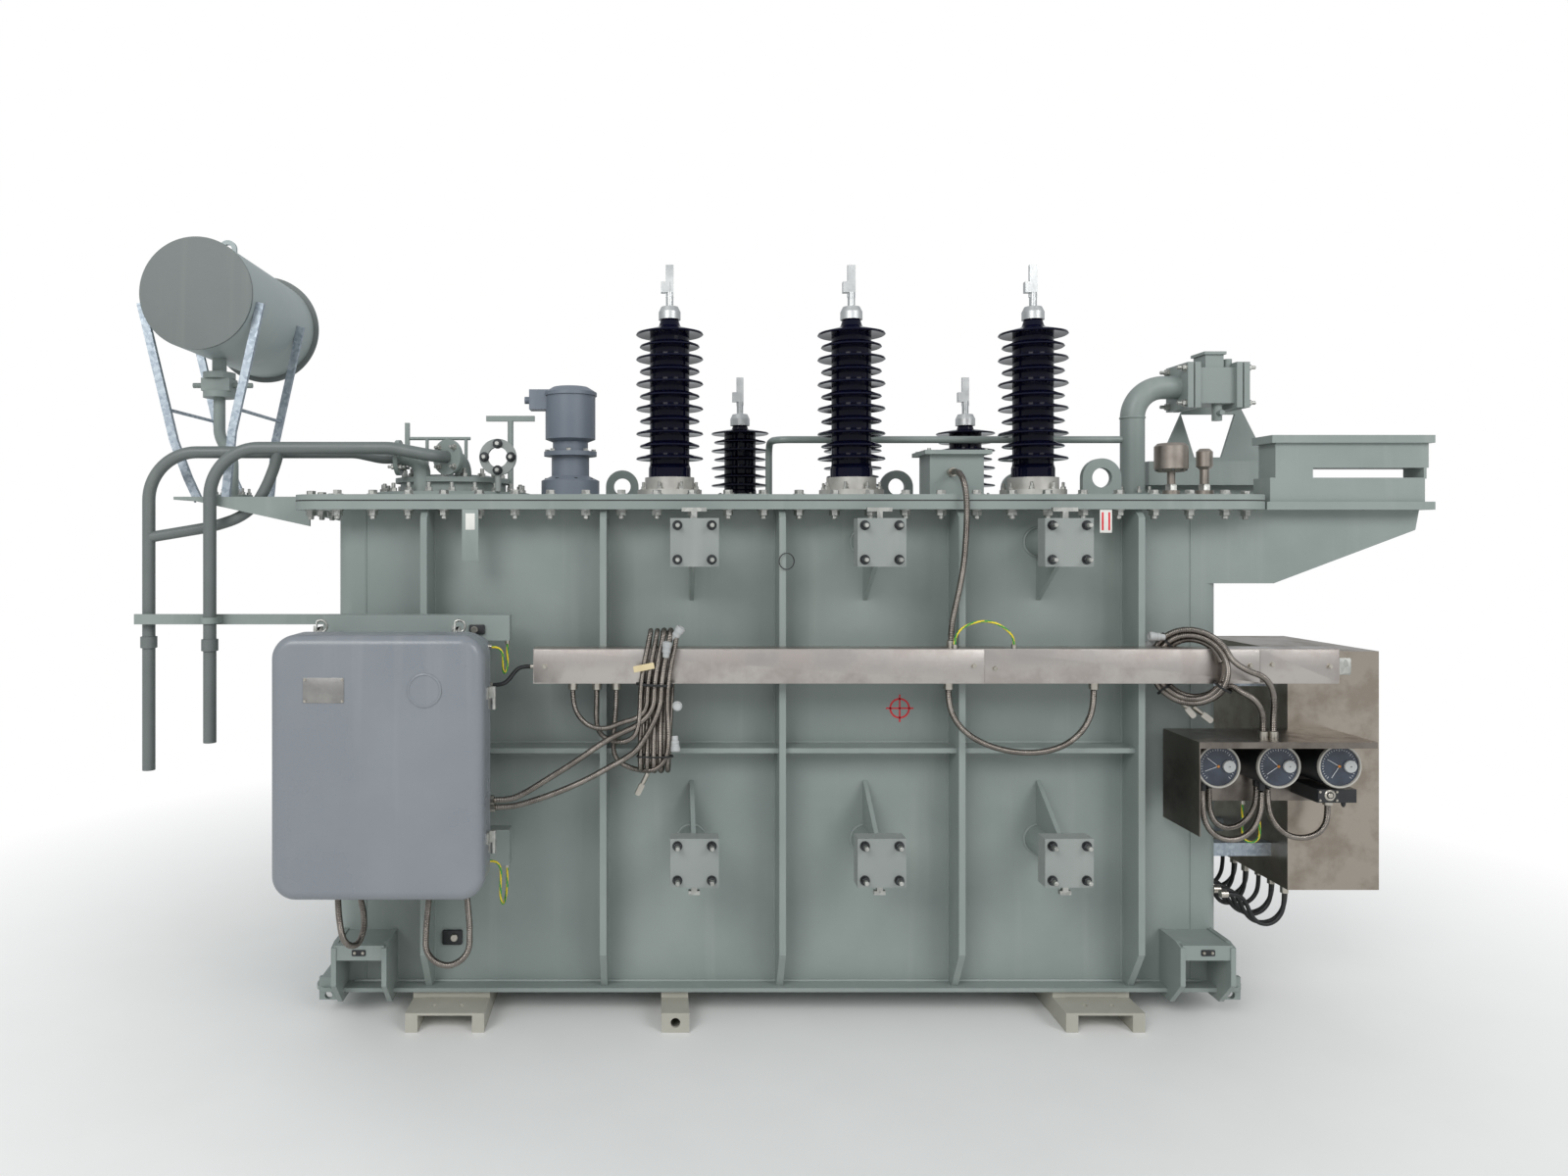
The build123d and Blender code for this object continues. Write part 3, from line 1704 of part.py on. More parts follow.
parts = {
    "tank_wall": tank_wall(),
    "bottom_plate": bottom_plate(),
    "rim_flange": rim(rim_underside, rim_top),
    "cover_gasket": rim(rim_top, cover_under),
    "cover_plate": cover_plate(),
    "wall_ribs": group(both_sides([rib(x) for x in rib_x])),
    "waist_rails": group(both_sides([waist_rail(a, b) for a, b in zip(rib_x, rib_x[1:])])),
    "valve_necks": group(both_sides([valve_neck(x, z) for x, z in valve_places()])),
    "valve_gussets": group(both_sides([valve_gusset(x, z) for x, z in valve_places()])),
    "valve_bodies": group(both_sides([valve_plate(x, z, neck_end, valve_end) for x, z in valve_places()])),
    "blanking_plates": group(
        both_sides([valve_plate(x, z, valve_end, blank_face) for x, z in valve_places()])
    ),
    "valve_spindles": group(both_sides([valve_spindle(x, z) for x, z in valve_places()])),
    "jacking_lugs": group(both_sides([jacking_lug(-1), jacking_lug(1)])),
    "skid_frames": group([skid_frame(skid_left), skid_frame(skid_right)]),
    "skid_packers": skid_packers(),
    "pull_beam": pull_beam(),
    "tall_bases": group(
        [
            Pos(x, tall_y, 0) * bushing_base(tall_flange, tall_ring, cover_top, tall_porcelain_base)
            for x in tall_x
        ]
    ),
    "tall_porcelains": group([Pos(x, tall_y, tall_porcelain_base) * tall_body for x in tall_x]),
    "tall_terminals": group(
        [Pos(x, tall_y, 0) * terminal(tall_porcelain_base + tall_height) for x in tall_x]
    ),
    "short_bases": group(
        [
            Pos(x, short_y, 0) * bushing_base(short_flange, short_ring, cover_top, short_porcelain_base)
            for x in short_x
        ]
    ),
    "short_porcelains": group([Pos(x, short_y, short_porcelain_base) * short_body for x in short_x]),
    "short_terminals": group(
        [Pos(x, short_y, 0) * terminal(short_porcelain_base + short_height) for x in short_x]
    ),
    "tap_changer_head": tap_changer_head(),
    "head_elbows": group([head_elbow(centre, way) for centre, way in elbow_places()]),
    "open_ring_flange": open_ring_flange(),
    "drive_column": drive_column(),
    "oil_pipe_outer": outer_pipe(),
    "oil_pipe_inner": inner_pipe(),
    "pipe_clamps": pipe_clamps(),
    "conservator_shell": conservator_shell(),
    "conservator_ends": conservator_ends(),
    "conservator_legs": conservator_legs(),
    "conservator_shelf": conservator_shelf(),
    "conservator_outlet": conservator_outlet(),
    "relay_riser": relay_riser(),
    "relay_body": relay_body(),
    "vent_pipe": vent_pipe(),
    "sensors": group(
        [
            sensor(
                end_x + sensor_pot_x, -wall_y + sensor_edge, sensor_pot, 30, cover_top + 111, cover_top + 211
            ),
            sensor(
                end_x + sensor_second_x, -wall_y + sensor_edge, 60, 34, cover_top + 120, cover_top + 190
            ),
        ]
    ),
    "lifting_lugs": group([lifting_lug(x, y) for x, y in lifting_places]),
    "terminal_box": terminal_box(),
    "end_bracket": end_bracket(),
    "cradle_frame": cradle_frame(),
    "control_cabinet": control_cabinet(),
    "cabinet_standoffs": cabinet_standoffs(),
    "gauge_hood": gauge_hood(),
    "gauge_dials": gauge_dials(),
    "cable_trunk": cable_trunk(),
    "cabinet_housing": cabinet_housing(),
    "cabinet_brackets": cabinet_brackets(),
    "cabinet_door": cabinet_door(),
    "housing_hinges": group([hinge_half(z, False) for z in hinge_z]),
    "door_hinges": group([hinge_half(z, True) for z in hinge_z]),
    "conduit_glands": group(glands),
    "steel_conduits": group(steel_cables),
    "black_cables": group(black_cables),
    "earth_wires": group(earth_cables),
    "cable_hank": cable_hank(),
    "cable_coil": cable_coil(),
}

os.makedirs("parts", exist_ok=True)
for name, shape in parts.items():
    placed = Pos(tank_x, tank_y, 0) * shape
    export_step(Compound(placed.solids()), f"parts/{name}.step")
print("tank centre", tank_x, tank_y, "nodes", len(parts))
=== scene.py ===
# %% [markdown]
# A medium power transformer on a plain studio floor. The frame comes from the CAD: every solid already has
# its real size and place, and its mesh is never changed here. This notebook adds the looks, piece by piece:
# sprayed enamel, glazed porcelain, galvanised and stainless steel, the bolts, the welds, the dials and every
# cable.

# %% Load the frame
import bmesh
import bpy
import math
from mathutils import Matrix, Vector


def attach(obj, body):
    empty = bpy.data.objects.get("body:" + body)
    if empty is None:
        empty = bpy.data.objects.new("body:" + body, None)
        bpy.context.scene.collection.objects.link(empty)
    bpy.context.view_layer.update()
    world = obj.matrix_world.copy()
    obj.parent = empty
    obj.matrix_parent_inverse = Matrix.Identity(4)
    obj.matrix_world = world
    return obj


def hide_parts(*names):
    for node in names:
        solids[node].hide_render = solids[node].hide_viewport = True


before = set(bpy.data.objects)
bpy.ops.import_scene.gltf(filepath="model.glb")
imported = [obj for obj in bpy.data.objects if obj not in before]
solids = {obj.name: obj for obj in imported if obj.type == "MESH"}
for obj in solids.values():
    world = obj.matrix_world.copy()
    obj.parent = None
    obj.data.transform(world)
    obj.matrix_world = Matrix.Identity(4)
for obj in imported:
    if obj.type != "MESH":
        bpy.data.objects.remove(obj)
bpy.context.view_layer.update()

# %% [markdown]
# The photograph was taken level, from a person's eye height, looking square at the long side. So the camera
# isn't turned at all: the lens is shifted a little sideways and down to frame the whole machine.

# %% Camera
camera_data = bpy.data.cameras.new("camera")
camera_data.lens = 24.3
camera_data.sensor_width = 36
camera_data.shift_x = 0.0825
camera_data.shift_y = -0.034
camera = bpy.data.objects.new("camera", camera_data)
camera.location = (-0.41325, -4.526, 1.797)
camera.rotation_euler = (math.pi / 2, 0, 0)
bpy.context.scene.collection.objects.link(camera)
bpy.context.scene.camera = camera
bpy.context.scene.view_settings.view_transform = "Standard"
print("camera at", tuple(camera.location))

# %% [markdown]
# Everything on a tank is measured from the tank's own middle, in millimetres. One helper turns such a place
# into the frame's metres, and a second stands a small shape on it, facing along any direction. A third turns
# a finished bmesh into a piece: it sits at the origin, gets its materials, and rides on a body of the frame.

# %% Places and pieces
tank_middle_x = 53.75
tank_middle_y = 124.0
crease_angle = 0.6


def spot(x, y, z):
    """A place in the tank's millimetres, as the frame's metres."""
    return Vector((x + tank_middle_x, y + tank_middle_y, z)) / 1000


def stand(x, y, z, way=(0, 0, 1), turn=0.0):
    """The matrix that stands a small shape on a place, with its +Z along a direction."""
    facing = Vector(way).to_track_quat("Z", "Y").to_matrix().to_4x4()
    return Matrix.Translation(spot(x, y, z)) @ facing @ Matrix.Rotation(turn, 4, "Z")


def on_front(x, y, z):
    """The matrix that stands a small shape on a place, facing the front."""
    return stand(x, y, z, (0, -1, 0))


def ended_mesh(name, shape):
    """Ends a bmesh as a mesh."""
    mesh = bpy.data.meshes.new(name)
    shape.to_mesh(mesh)
    shape.free()
    return mesh


def new_object(name, content):
    """A new object in the scene."""
    item = bpy.data.objects.new(name, content)
    bpy.context.scene.collection.objects.link(item)
    return item


def make_piece(name, shape, finishes, body="transformer"):
    """Ends a bmesh as a piece that rides on a body."""
    mesh = ended_mesh(name, shape)
    mesh.shade_smooth()
    mesh.set_sharp_from_angle(angle=crease_angle)
    piece = new_object(name, mesh)
    for finish in finishes:
        mesh.materials.append(finish)
    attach(piece, body)
    return piece


# %% [markdown]
# The conduits are strip-wound steel hose, the cabinet's cables are plain black, and the bonds are green and
# yellow earth wires. Each one hangs between two glands, so its line is a NURBS spline whose control points
# are the same places that the CAD gives its tube: straight out of the gland, then down into the loop.

# %% Cable lines
def cable_line(name, places):
    """An open NURBS curve through the pull of a cable's places, without thickness."""
    line = bpy.data.curves.new(name, "CURVE")
    line.dimensions = "3D"
    line.resolution_u = 12
    spline = line.splines.new("NURBS")
    spline.points.add(len(places) - 1)
    for point, place in zip(spline.points, places):
        point.co = (*spot(*place), 1)
    spline.order_u = 3
    spline.use_endpoint_u = True
    return new_object(name, line)


def line_points(cable):
    """The points of a curve that has no thickness, and their length."""
    flat = bpy.data.meshes.new_from_object(cable.evaluated_get(bpy.context.evaluated_depsgraph_get()))
    points = [vertex.co.copy() for vertex in flat.vertices]
    bpy.data.meshes.remove(flat)
    return points, sum((b - a).length for a, b in zip(points, points[1:]))


# %% Steel conduits' routes
steel_routes = {
    "riser": [(659, -656, 2034), (659, -712, 2034), (659, -775, 2012), (660, -818, 1962), (660, -832, 1890),
        (659, -826, 1800), (654, -818, 1700), (640, -816, 1612), (620, -824, 1535), (602, -833, 1464),
        (602, -833, 1416)],
    "trunk_loop": [(592, -833, 1240), (592, -833, 1195), (610, -837, 1135), (655, -840, 1080),
        (729, -842, 1038), (823, -843, 1014), (922, -843, 1012), (1008, -842, 1036), (1068, -840, 1083),
        (1102, -838, 1138), (1116, -833, 1195), (1116, -833, 1240)],
    "cabinet_left_loop": [(-1549, -1035, 603), (-1549, -1035, 552), (-1544, -1038, 484), (-1530, -1035, 400),
        (-1503, -959, 358), (-1497, -883, 400), (-1508, -880, 484), (-1530, -885, 552), (-1530, -885, 603)],
    "cabinet_right_loop": [(-1251, -960, 603), (-1251, -960, 556), (-1256, -963, 496), (-1263, -966, 421),
        (-1264, -968, 333), (-1188, -972, 289), (-1113, -968, 333), (-1110, -964, 421), (-1117, -960, 496),
        (-1125, -955, 556), (-1125, -955, 603)],
    "dial_loop_front": [(1520, -809, 870), (1520, -809, 824), (1526, -811, 762), (1552, -813, 714),
        (1602, -814, 690), (1656, -813, 694), (1704, -812, 728), (1730, -810, 786), (1735, -809, 830),
        (1735, -809, 870)],
    "dial_loop_rear": [(1564, -769, 870), (1564, -769, 828), (1569, -767, 778), (1591, -762, 738),
        (1634, -754, 716), (1684, -746, 722), (1725, -741, 752), (1751, -739, 798), (1757, -739, 834),
        (1757, -739, 870)],
    "meter_loop": [(1990, -785, 812), (1990, -785, 776), (1983, -784, 736), (1956, -781, 702),
        (1908, -777, 686), (1858, -774, 692), (1816, -771, 722), (1788, -769, 770), (1779, -769, 826),
        (1779, -769, 870)],
}
print(len(steel_routes), "conduits that run from gland to gland")

# %% [markdown]
# Five conduits end in the hank on the trunk. Each comes in from the side, goes once and a third round in its
# own lane, and ends in a connector or a cable lug. The lanes stand side by side across the hank, so no two
# conduits cut through each other.

# %% Conduits that end in the hank
def hank_turn(lane):
    """The places of one and a third turns over the trunk, which lean to the right towards the top."""
    front, inner, back = -914, -891, -773
    turn = [(front, 1180, -6), (front, 1262, -4), (front, 1345, 8), (front + 6, 1410, 22),
        (front + 34, 1447, 30), (-843, 1454, 32), (back - 34, 1447, 30), (back - 6, 1410, 26),
        (back, 1340, 20), (back, 1220, 12), (back, 1100, 6), (back, 1010, 2), (back - 10, 972, 0),
        (-822, 952, -2), (-866, 952, -4), (inner - 4, 972, -6), (inner, 1040, -6), (inner, 1150, -6),
        (inner, 1262, -4), (inner, 1340, 8)]
    return [(lane + lean, y, z) for y, z, lean in turn]


hank_routes = {
    "hank_upper": [(-1031, -930, 864), (-985, -930, 864), (-930, -932, 884), (-838, -934, 942),
        (-735, -934, 1006), (-650, -926, 1066), (-580, -905, 1098), (-525, -905, 1122)] + hank_turn(-464),
    "hank_lower": [(-1031, -900, 832), (-985, -900, 832), (-925, -904, 846), (-815, -910, 884),
        (-710, -912, 930), (-628, -909, 975), (-578, -903, 1000), (-520, -910, 1040)] + hank_turn(-440),
    "drop_left": [(-762, -833, 1240), (-762, -833, 1198), (-744, -850, 1148), (-700, -876, 1112),
        (-640, -896, 1106), (-585, -903, 1132), (-532, -908, 1146)] + hank_turn(-488),
    "drop_middle": [(-676, -833, 1240), (-676, -833, 1196), (-678, -836, 1140), (-672, -842, 1096),
        (-648, -856, 1068), (-610, -878, 1060), (-570, -903, 1062), (-528, -910, 1090)] + hank_turn(-512),
    "drop_right": [(-605, -833, 1240), (-605, -833, 1192), (-611, -836, 1124), (-615, -840, 1064),
        (-615, -843, 1012), (-597, -843, 981), (-566, -843, 963), (-525, -858, 954), (-470, -896, 958),
        (-425, -912, 1000), (-416, -914, 1080)] + hank_turn(-416),
}
print(len(hank_routes), "conduits that hang over the trunk")

# %% [markdown]
# Two more conduits make the round coil on the trunk's right end. The coil's plane is turned a little, so the
# camera sees it as a narrow ring. Each conduit goes round twice, beside the other, and hangs down to the
# hood.

# %% Conduits that end in the coil
coil_middle = Vector((1467, -833, 1318))
coil_across = Vector((0.766, -0.643, 0))


def coil_turn(first, last, side, outer):
    """The places of two turns of the coil, each inside the one before, on one side of its middle plane."""
    aside = Vector((0.643, 0.766, 0)) * side
    places = []
    for step in range(31):
        share = step / 30
        angle = math.radians(first + (last - first) * share)
        radius = outer - 26 * max(0, min(1, 1.6 * share - 0.2))
        upward = Vector((0, 0, radius * math.sin(angle)))
        place = coil_middle + coil_across * radius * math.cos(angle) + upward
        places.append(tuple(place + aside))
    return places


coil_routes = {
    "coil_tail_upper": [(1728, -893, 1100), (1728, -893, 1142), (1727, -900, 1190), (1718, -912, 1235),
        (1695, -930, 1274), (1660, -943, 1304), (1615, -940, 1318)] + coil_turn(14, 700, -11.6, 140),
    "coil_tail_lower": [(1692, -893, 1100), (1692, -893, 1130), (1686, -903, 1158), (1667, -917, 1192),
        (1638, -928, 1221), (1600, -929.5, 1241)] + coil_turn(-22, -708, 11.6, 128),
}
print(len(coil_routes), "conduits in the coil")

# %% [markdown]
# The black cables below the stainless cabinet hang in even loops, each one a little behind the last. The lead
# from the drive cabinet ends in the trunk. The earth wires bridge what a screwed joint might leave dead.

# %% Routes of the black cables and earth wires
def cabinet_loop(i):
    """The places of one of the cables below the stainless cabinet."""
    x = 1912 + 12 * (i * 3 % 5)
    y = -650 + 53 * i
    dip = 6 * (i * 2 % 4)
    share = (x - 1772) / 158
    return [(x, y, 445), (x, y, 408), (x - 8 * share, y + 2, 368 - dip / 2),
        (x - 34 * share, y + 3, 336 - dip), (x - 74 * share, y + 2, 322 - dip),
        (x - 115 * share, y, 332 - dip), (x - 144 * share, y - 2, 362 - dip / 2), (1772, y - 1, 396),
        (1756, y, 424), (1728, y, 440), (1696, y, 440)]


black_routes = {f"cabinet_cable_{i}": cabinet_loop(i) for i in range(10)}
black_routes["lead"] = [(-1043, -880, 1262), (-1015, -880, 1262), (-991, -871, 1273), (-966, -842, 1311),
                        (-942, -833, 1322), (-914, -833, 1322)]
earth_routes = {
    "trunk_bond": [(607, -862, 1404), (607, -862, 1430), (630, -862, 1462), (680, -862, 1486),
        (740, -862, 1488), (790, -862, 1462), (819, -862, 1430), (819, -862, 1404)],
    "cabinet_bond_top": [(-1043, -905, 1400), (-1027, -905, 1400), (-1013, -905, 1392), (-1005, -904, 1378),
        (-1003, -902, 1355), (-1006, -896, 1330), (-1006, -880, 1308), (-1003, -858, 1300),
        (-999, -836, 1310), (-998, -823, 1334), (-1000, -820, 1366), (-1000, -820, 1403)],
    "cabinet_bond_low": [(-1043, -960, 660), (-1027, -960, 660), (-1013, -960, 652), (-1005, -959, 638),
        (-1003, -957, 612), (-1006, -953, 572), (-1007, -944, 530), (-1005, -920, 496), (-1003, -885, 484),
        (-1001, -850, 498), (-999, -828, 532), (-1000, -820, 570), (-1000, -820, 595)],
    "hood_bond": [(1725, -702, 792), (1725, -702, 764), (1723, -704, 712), (1724, -706, 664),
        (1756, -706, 646), (1788, -706, 664), (1789, -704, 712), (1787, -702, 764), (1787, -702, 792)],
}
print(len(black_routes), "black cables,", len(earth_routes), "earth wires")

# %% [markdown]
# A material here is a small tree of nodes round one shader. Colours are written as the hex values that a
# picture editor shows, and one function turns them to the linear numbers that a shader works in. A second
# gives a socket its number, its colour or its link, and a third adds a node with its settings, so a whole
# finish reads as a short list.

# %% Colour and node helpers
def tint(hex_colour):
    """An sRGB hex colour as the linear numbers of a shader."""
    channels = [int(hex_colour[i:i + 2], 16) / 255 for i in (1, 3, 5)]
    return (*(c / 12.92 if c <= 0.04045 else ((c + 0.055) / 1.055) ** 2.4 for c in channels), 1)


def feed(node, values):
    """Gives a node's sockets their numbers, hex colours or links, which come from a socket or a node."""
    for name, value in values.items():
        if isinstance(value, bpy.types.Node):
            value = next(output for output in value.outputs if output.enabled)
        if isinstance(value, bpy.types.NodeSocket):
            node.id_data.links.new(value, node.inputs[name])
        else:
            node.inputs[name].default_value = tint(value) if isinstance(value, str) else value


def add_node(tree, kind, inputs=None, **settings):
    """Adds a shader node with its settings, its numbers and its links."""
    node = tree.nodes.new("ShaderNode" + kind)
    for name, value in settings.items():
        setattr(node, name, value)
    feed(node, inputs or {})
    return node


def new_finish(name, constants):
    """An empty finish with its shader's constants set, and the places on the object for its patterns."""
    finish = bpy.data.materials.new(name)
    finish.use_nodes = True
    tree = finish.node_tree
    shader = tree.nodes["Principled BSDF"]
    feed(shader, constants)
    return finish, tree, shader, add_node(tree, "TexCoord").outputs["Object"]


# %% [markdown]
# **Tank enamel.** The tank is shot-blasted, primed and sprayed with a grey-green two-pack enamel, thick and
# satin. Three things keep it from looking like plastic: clouds where the spray passes overlapped, about 300
# mm wide; faint runs of dust down the walls; and plate that weld heat has pulled into shallow waves. The
# orange peel of the spray is 1 to 2 mm wide, too fine for this view, so it is drawn 8 mm wide.

# %% Sprayed enamel
def sprayed_enamel(name, body_colour, cloud_colour, dust_colour, gloss):
    """Satin enamel over steel plate."""
    finish, tree, shader, place = new_finish(name, {"IOR": 1.5})
    cloud = add_node(tree, "TexNoise", {"Vector": place, "Scale": 3.3, "Detail": 4, "Roughness": 0.55})
    share = add_node(tree, "MapRange", {"Value": cloud, "From Min": 0.35, "From Max": 0.68})
    clouded = add_node(tree, "Mix", {0: share, 6: body_colour, 7: cloud_colour}, data_type="RGBA")
    tall = add_node(tree, "Mapping", {"Vector": place, "Scale": (14, 14, 0.9)})
    runs = add_node(tree, "TexNoise", {"Vector": tall, "Scale": 1, "Detail": 3})
    dust = add_node(tree, "MapRange", {"Value": runs, "From Min": 0.56, "From Max": 0.74, "To Max": 0.35})
    colour = add_node(tree, "Mix", {0: dust, 6: clouded, 7: dust_colour}, data_type="RGBA")
    satin = add_node(tree, "MapRange", {"Value": cloud, "From Min": 0.3, "From Max": 0.7,
                                        "To Min": gloss - 0.05, "To Max": gloss + 0.08})
    wave = add_node(tree, "TexNoise", {"Vector": place, "Scale": 1.8, "Detail": 1})
    waved = add_node(tree, "Bump", {"Height": wave, "Strength": 0.35, "Distance": 0.02})
    peel = add_node(tree, "TexNoise", {"Vector": place, "Scale": 125, "Detail": 1})
    skin = add_node(tree, "Bump", {"Height": peel, "Strength": 0.12, "Distance": 0.0015, "Normal": waved})
    feed(shader, {"Base Color": colour, "Roughness": satin, "Normal": skin})
    return finish


tank_enamel = sprayed_enamel("tank_grey_green_enamel", "#858f8b", "#8d9692", "#9ba19a", 0.4)
# The conservator's ends and the oil pipes wear the tank's own grey-green paint: this darker copy of it is
# painted shade.
painted_shade_pipe_enamel = sprayed_enamel("grey_green_enamel_painted_shade", "#656c6a", "#6d7472", "#7d837d", 0.42)
# The conservator's shell wears the same paint: this lighter copy of it is painted light.
painted_light_shell_enamel = sprayed_enamel("grey_green_enamel_painted_light", "#a1abaa", "#a9b2b0", "#b3b9b4", 0.42)
skid_enamel = sprayed_enamel("skid_pale_grey_enamel", "#a5a398", "#afada2", "#b8b5aa", 0.5)
valve_enamel = sprayed_enamel("valve_grey_enamel", "#8a908d", "#919793", "#a1a49f", 0.42)
cabinet_enamel = sprayed_enamel("drive_cabinet_grey_enamel", "#7d8288", "#83888d", "#909496", 0.3)
column_enamel = sprayed_enamel("motor_blue_grey_enamel", "#6c747f", "#757c86", "#8a9096", 0.4)
print("enamels made")

# %% [markdown]
# **Galvanised steel.** Hot zinc freezes in crystals 8 to 15 mm wide, each a slightly different grey. A
# Voronoi pattern gives a cell the size of a crystal, and its random colour picks the shade and the polish.

# %% Galvanised steel
def galvanised_steel(name, dark, light, crystal):
    """Zinc with its crystals, a size in metres."""
    finish, tree, shader, place = new_finish(name, {"Metallic": 1})
    cells = add_node(tree, "TexVoronoi", {"Vector": place, "Scale": 1 / crystal, "Randomness": 1})
    shade = add_node(tree, "SeparateColor", {"Color": cells.outputs["Color"]})
    colour = add_node(tree, "Mix", {0: shade.outputs[0], 6: dark, 7: light}, data_type="RGBA")
    polish = add_node(tree, "MapRange", {"Value": shade.outputs[1], "To Min": 0.38, "To Max": 0.58})
    feed(shader, {"Base Color": colour, "Roughness": polish})
    return finish


galvanised = galvanised_steel("hot_dip_galvanised_steel", "#98a3ad", "#b9c2c9", 0.012)
zinc_plate = galvanised_steel("zinc_plated_fastener_steel", "#a8a9a4", "#c9c9c4", 0.02)
print("zinc made")

# %% [markdown]
# **Brushed stainless sheet.** The trunk, the hood and the cabinet are folded from sheet that a belt has
# brushed along its length, so its scratches are long and hair-thin. Hands have left cloudy prints, which dull
# the shine. A scratch is too fine for this view, so it is drawn 2.5 mm wide and 250 mm long.

# %% Stainless sheet
def brushed_sheet(name, dark, light, grain):
    """Stainless sheet with scratches along one direction, a scale along each axis."""
    finish, tree, shader, place = new_finish(name, {"Metallic": 1})
    hands = add_node(tree, "TexNoise", {"Vector": place, "Scale": 7, "Detail": 5, "Roughness": 0.6})
    prints = add_node(tree, "MapRange", {"Value": hands, "From Min": 0.45, "From Max": 0.62})
    colour = add_node(tree, "Mix", {0: prints, 6: light, 7: dark}, data_type="RGBA")
    polish = add_node(tree, "MapRange", {"Value": prints, "To Min": 0.3, "To Max": 0.46})
    along = add_node(tree, "Mapping", {"Vector": place, "Scale": grain})
    hair = add_node(tree, "TexNoise", {"Vector": along, "Scale": 1, "Detail": 3})
    scratches = add_node(tree, "Bump", {"Height": hair, "Strength": 0.25, "Distance": 0.0005})
    feed(shader, {"Base Color": colour, "Roughness": polish, "Normal": scratches})
    return finish


trunk_sheet = brushed_sheet("trunk_brushed_stainless", "#ada5a0", "#bcb6b1", (4, 400, 400))
cabinet_sheet = brushed_sheet("cabinet_brushed_stainless", "#968c80", "#a89f94", (400, 400, 5))
# The hood is the same brushed stainless as the cabinet; its darker tones are painted shade.
hood_sheet_painted_shade = brushed_sheet("hood_stainless_painted_shade", "#6e6761", "#837c75", (5, 400, 400))
print("stainless made")

# %% [markdown]
# **Glazed porcelain.** The insulators are fired clay under a dark glaze, almost black with blue in it. Glaze
# is glass: smooth, hard reflections, and only a slight unevenness where it ran before it was fired.

# %% Porcelain, cast aluminium, rubber and plastics
porcelain_glaze, tree, shader, place = new_finish(
    "dark_glazed_porcelain", {"Roughness": 0.07, "IOR": 1.44, "Specular IOR Level": 0.25})
run = add_node(tree, "TexNoise", {"Vector": place, "Scale": 9, "Detail": 2})
blues = add_node(tree, "Mix", {0: run, 6: "#06071a", 7: "#101128"}, data_type="RGBA")
ripple = add_node(tree, "Bump", {"Height": run, "Strength": 0.15, "Distance": 0.004})
feed(shader, {"Base Color": blues, "Normal": ripple})


def cast_metal(name, dark, light, rough, grain, metallic=1.0):
    """A cast or moulded finish with an even grain, a size in metres."""
    finish, tree, shader, place = new_finish(name, {"Metallic": metallic})
    stain = add_node(tree, "TexNoise", {"Vector": place, "Scale": 14, "Detail": 3})
    share = add_node(tree, "MapRange", {"Value": stain, "From Min": 0.35, "From Max": 0.65})
    colour = add_node(tree, "Mix", {0: share, 6: dark, 7: light}, data_type="RGBA")
    polish = add_node(tree, "MapRange", {"Value": stain, "To Min": rough - 0.08, "To Max": rough + 0.08})
    sand = add_node(tree, "TexNoise", {"Vector": place, "Scale": 1 / grain, "Detail": 2})
    pits = add_node(tree, "Bump", {"Height": sand, "Strength": 0.2, "Distance": 0.0006})
    feed(shader, {"Base Color": colour, "Roughness": polish, "Normal": pits})
    return finish


# Sand-cast aluminium is pale and dull, nickelled brass is warmer and brighter, and rubber is hardly shiny.
cast_aluminium = cast_metal("sand_cast_aluminium", "#c0c2c2", "#d6d7d6", 0.42, 0.004)
flange_aluminium = cast_metal("bushing_flange_aluminium", "#b9b6af", "#cdcbc5", 0.5, 0.004, 0.6)
pot_steel = cast_metal("sensor_pot_steel", "#948b82", "#a89f96", 0.38, 0.005, 0.8)
dark_nut = cast_metal("blackened_nut_steel", "#3a3c3d", "#505253", 0.42, 0.008, 0.8)
nickel_brass = cast_metal("nickelled_brass", "#b1aca2", "#c6c1b7", 0.3, 0.006)
hose_steel = cast_metal("strip_wound_galvanised_hose", "#756e68", "#968f88", 0.27, 0.01)
gasket_rubber = cast_metal("nitrile_cork_gasket", "#2b2d2c", "#3c3e3c", 0.75, 0.003, 0.0)
cable_sheath = cast_metal("black_cable_sheath", "#151617", "#222324", 0.5, 0.006, 0.0)
black_housing = cast_metal("black_moulded_housing", "#1c1e20", "#26282a", 0.45, 0.003, 0.0)
green_sheath = cast_metal("green_wire_sheath", "#1f8a3c", "#2a9a47", 0.42, 0.006, 0.0)
yellow_sheath = cast_metal("yellow_wire_sheath", "#e3c51d", "#efd233", 0.42, 0.006, 0.0)
white_card = cast_metal("white_card_tag", "#d9d8d2", "#e6e5e0", 0.7, 0.006, 0.0)
beige_card = cast_metal("beige_card_tag", "#c9b98f", "#d8c9a2", 0.7, 0.006, 0.0)
red_paint = cast_metal("red_stencil_paint", "#cf1f2b", "#dc2c38", 0.5, 0.01, 0.0)
# The knobs' slots are dark discs on their tops: painted shade in the slot's hollow.
slot_painted_shade = cast_metal("knob_slot_painted_shade", "#25282a", "#303335", 0.6, 0.01, 0.3)
print("porcelain, aluminium, brass, rubber and sheaths made")
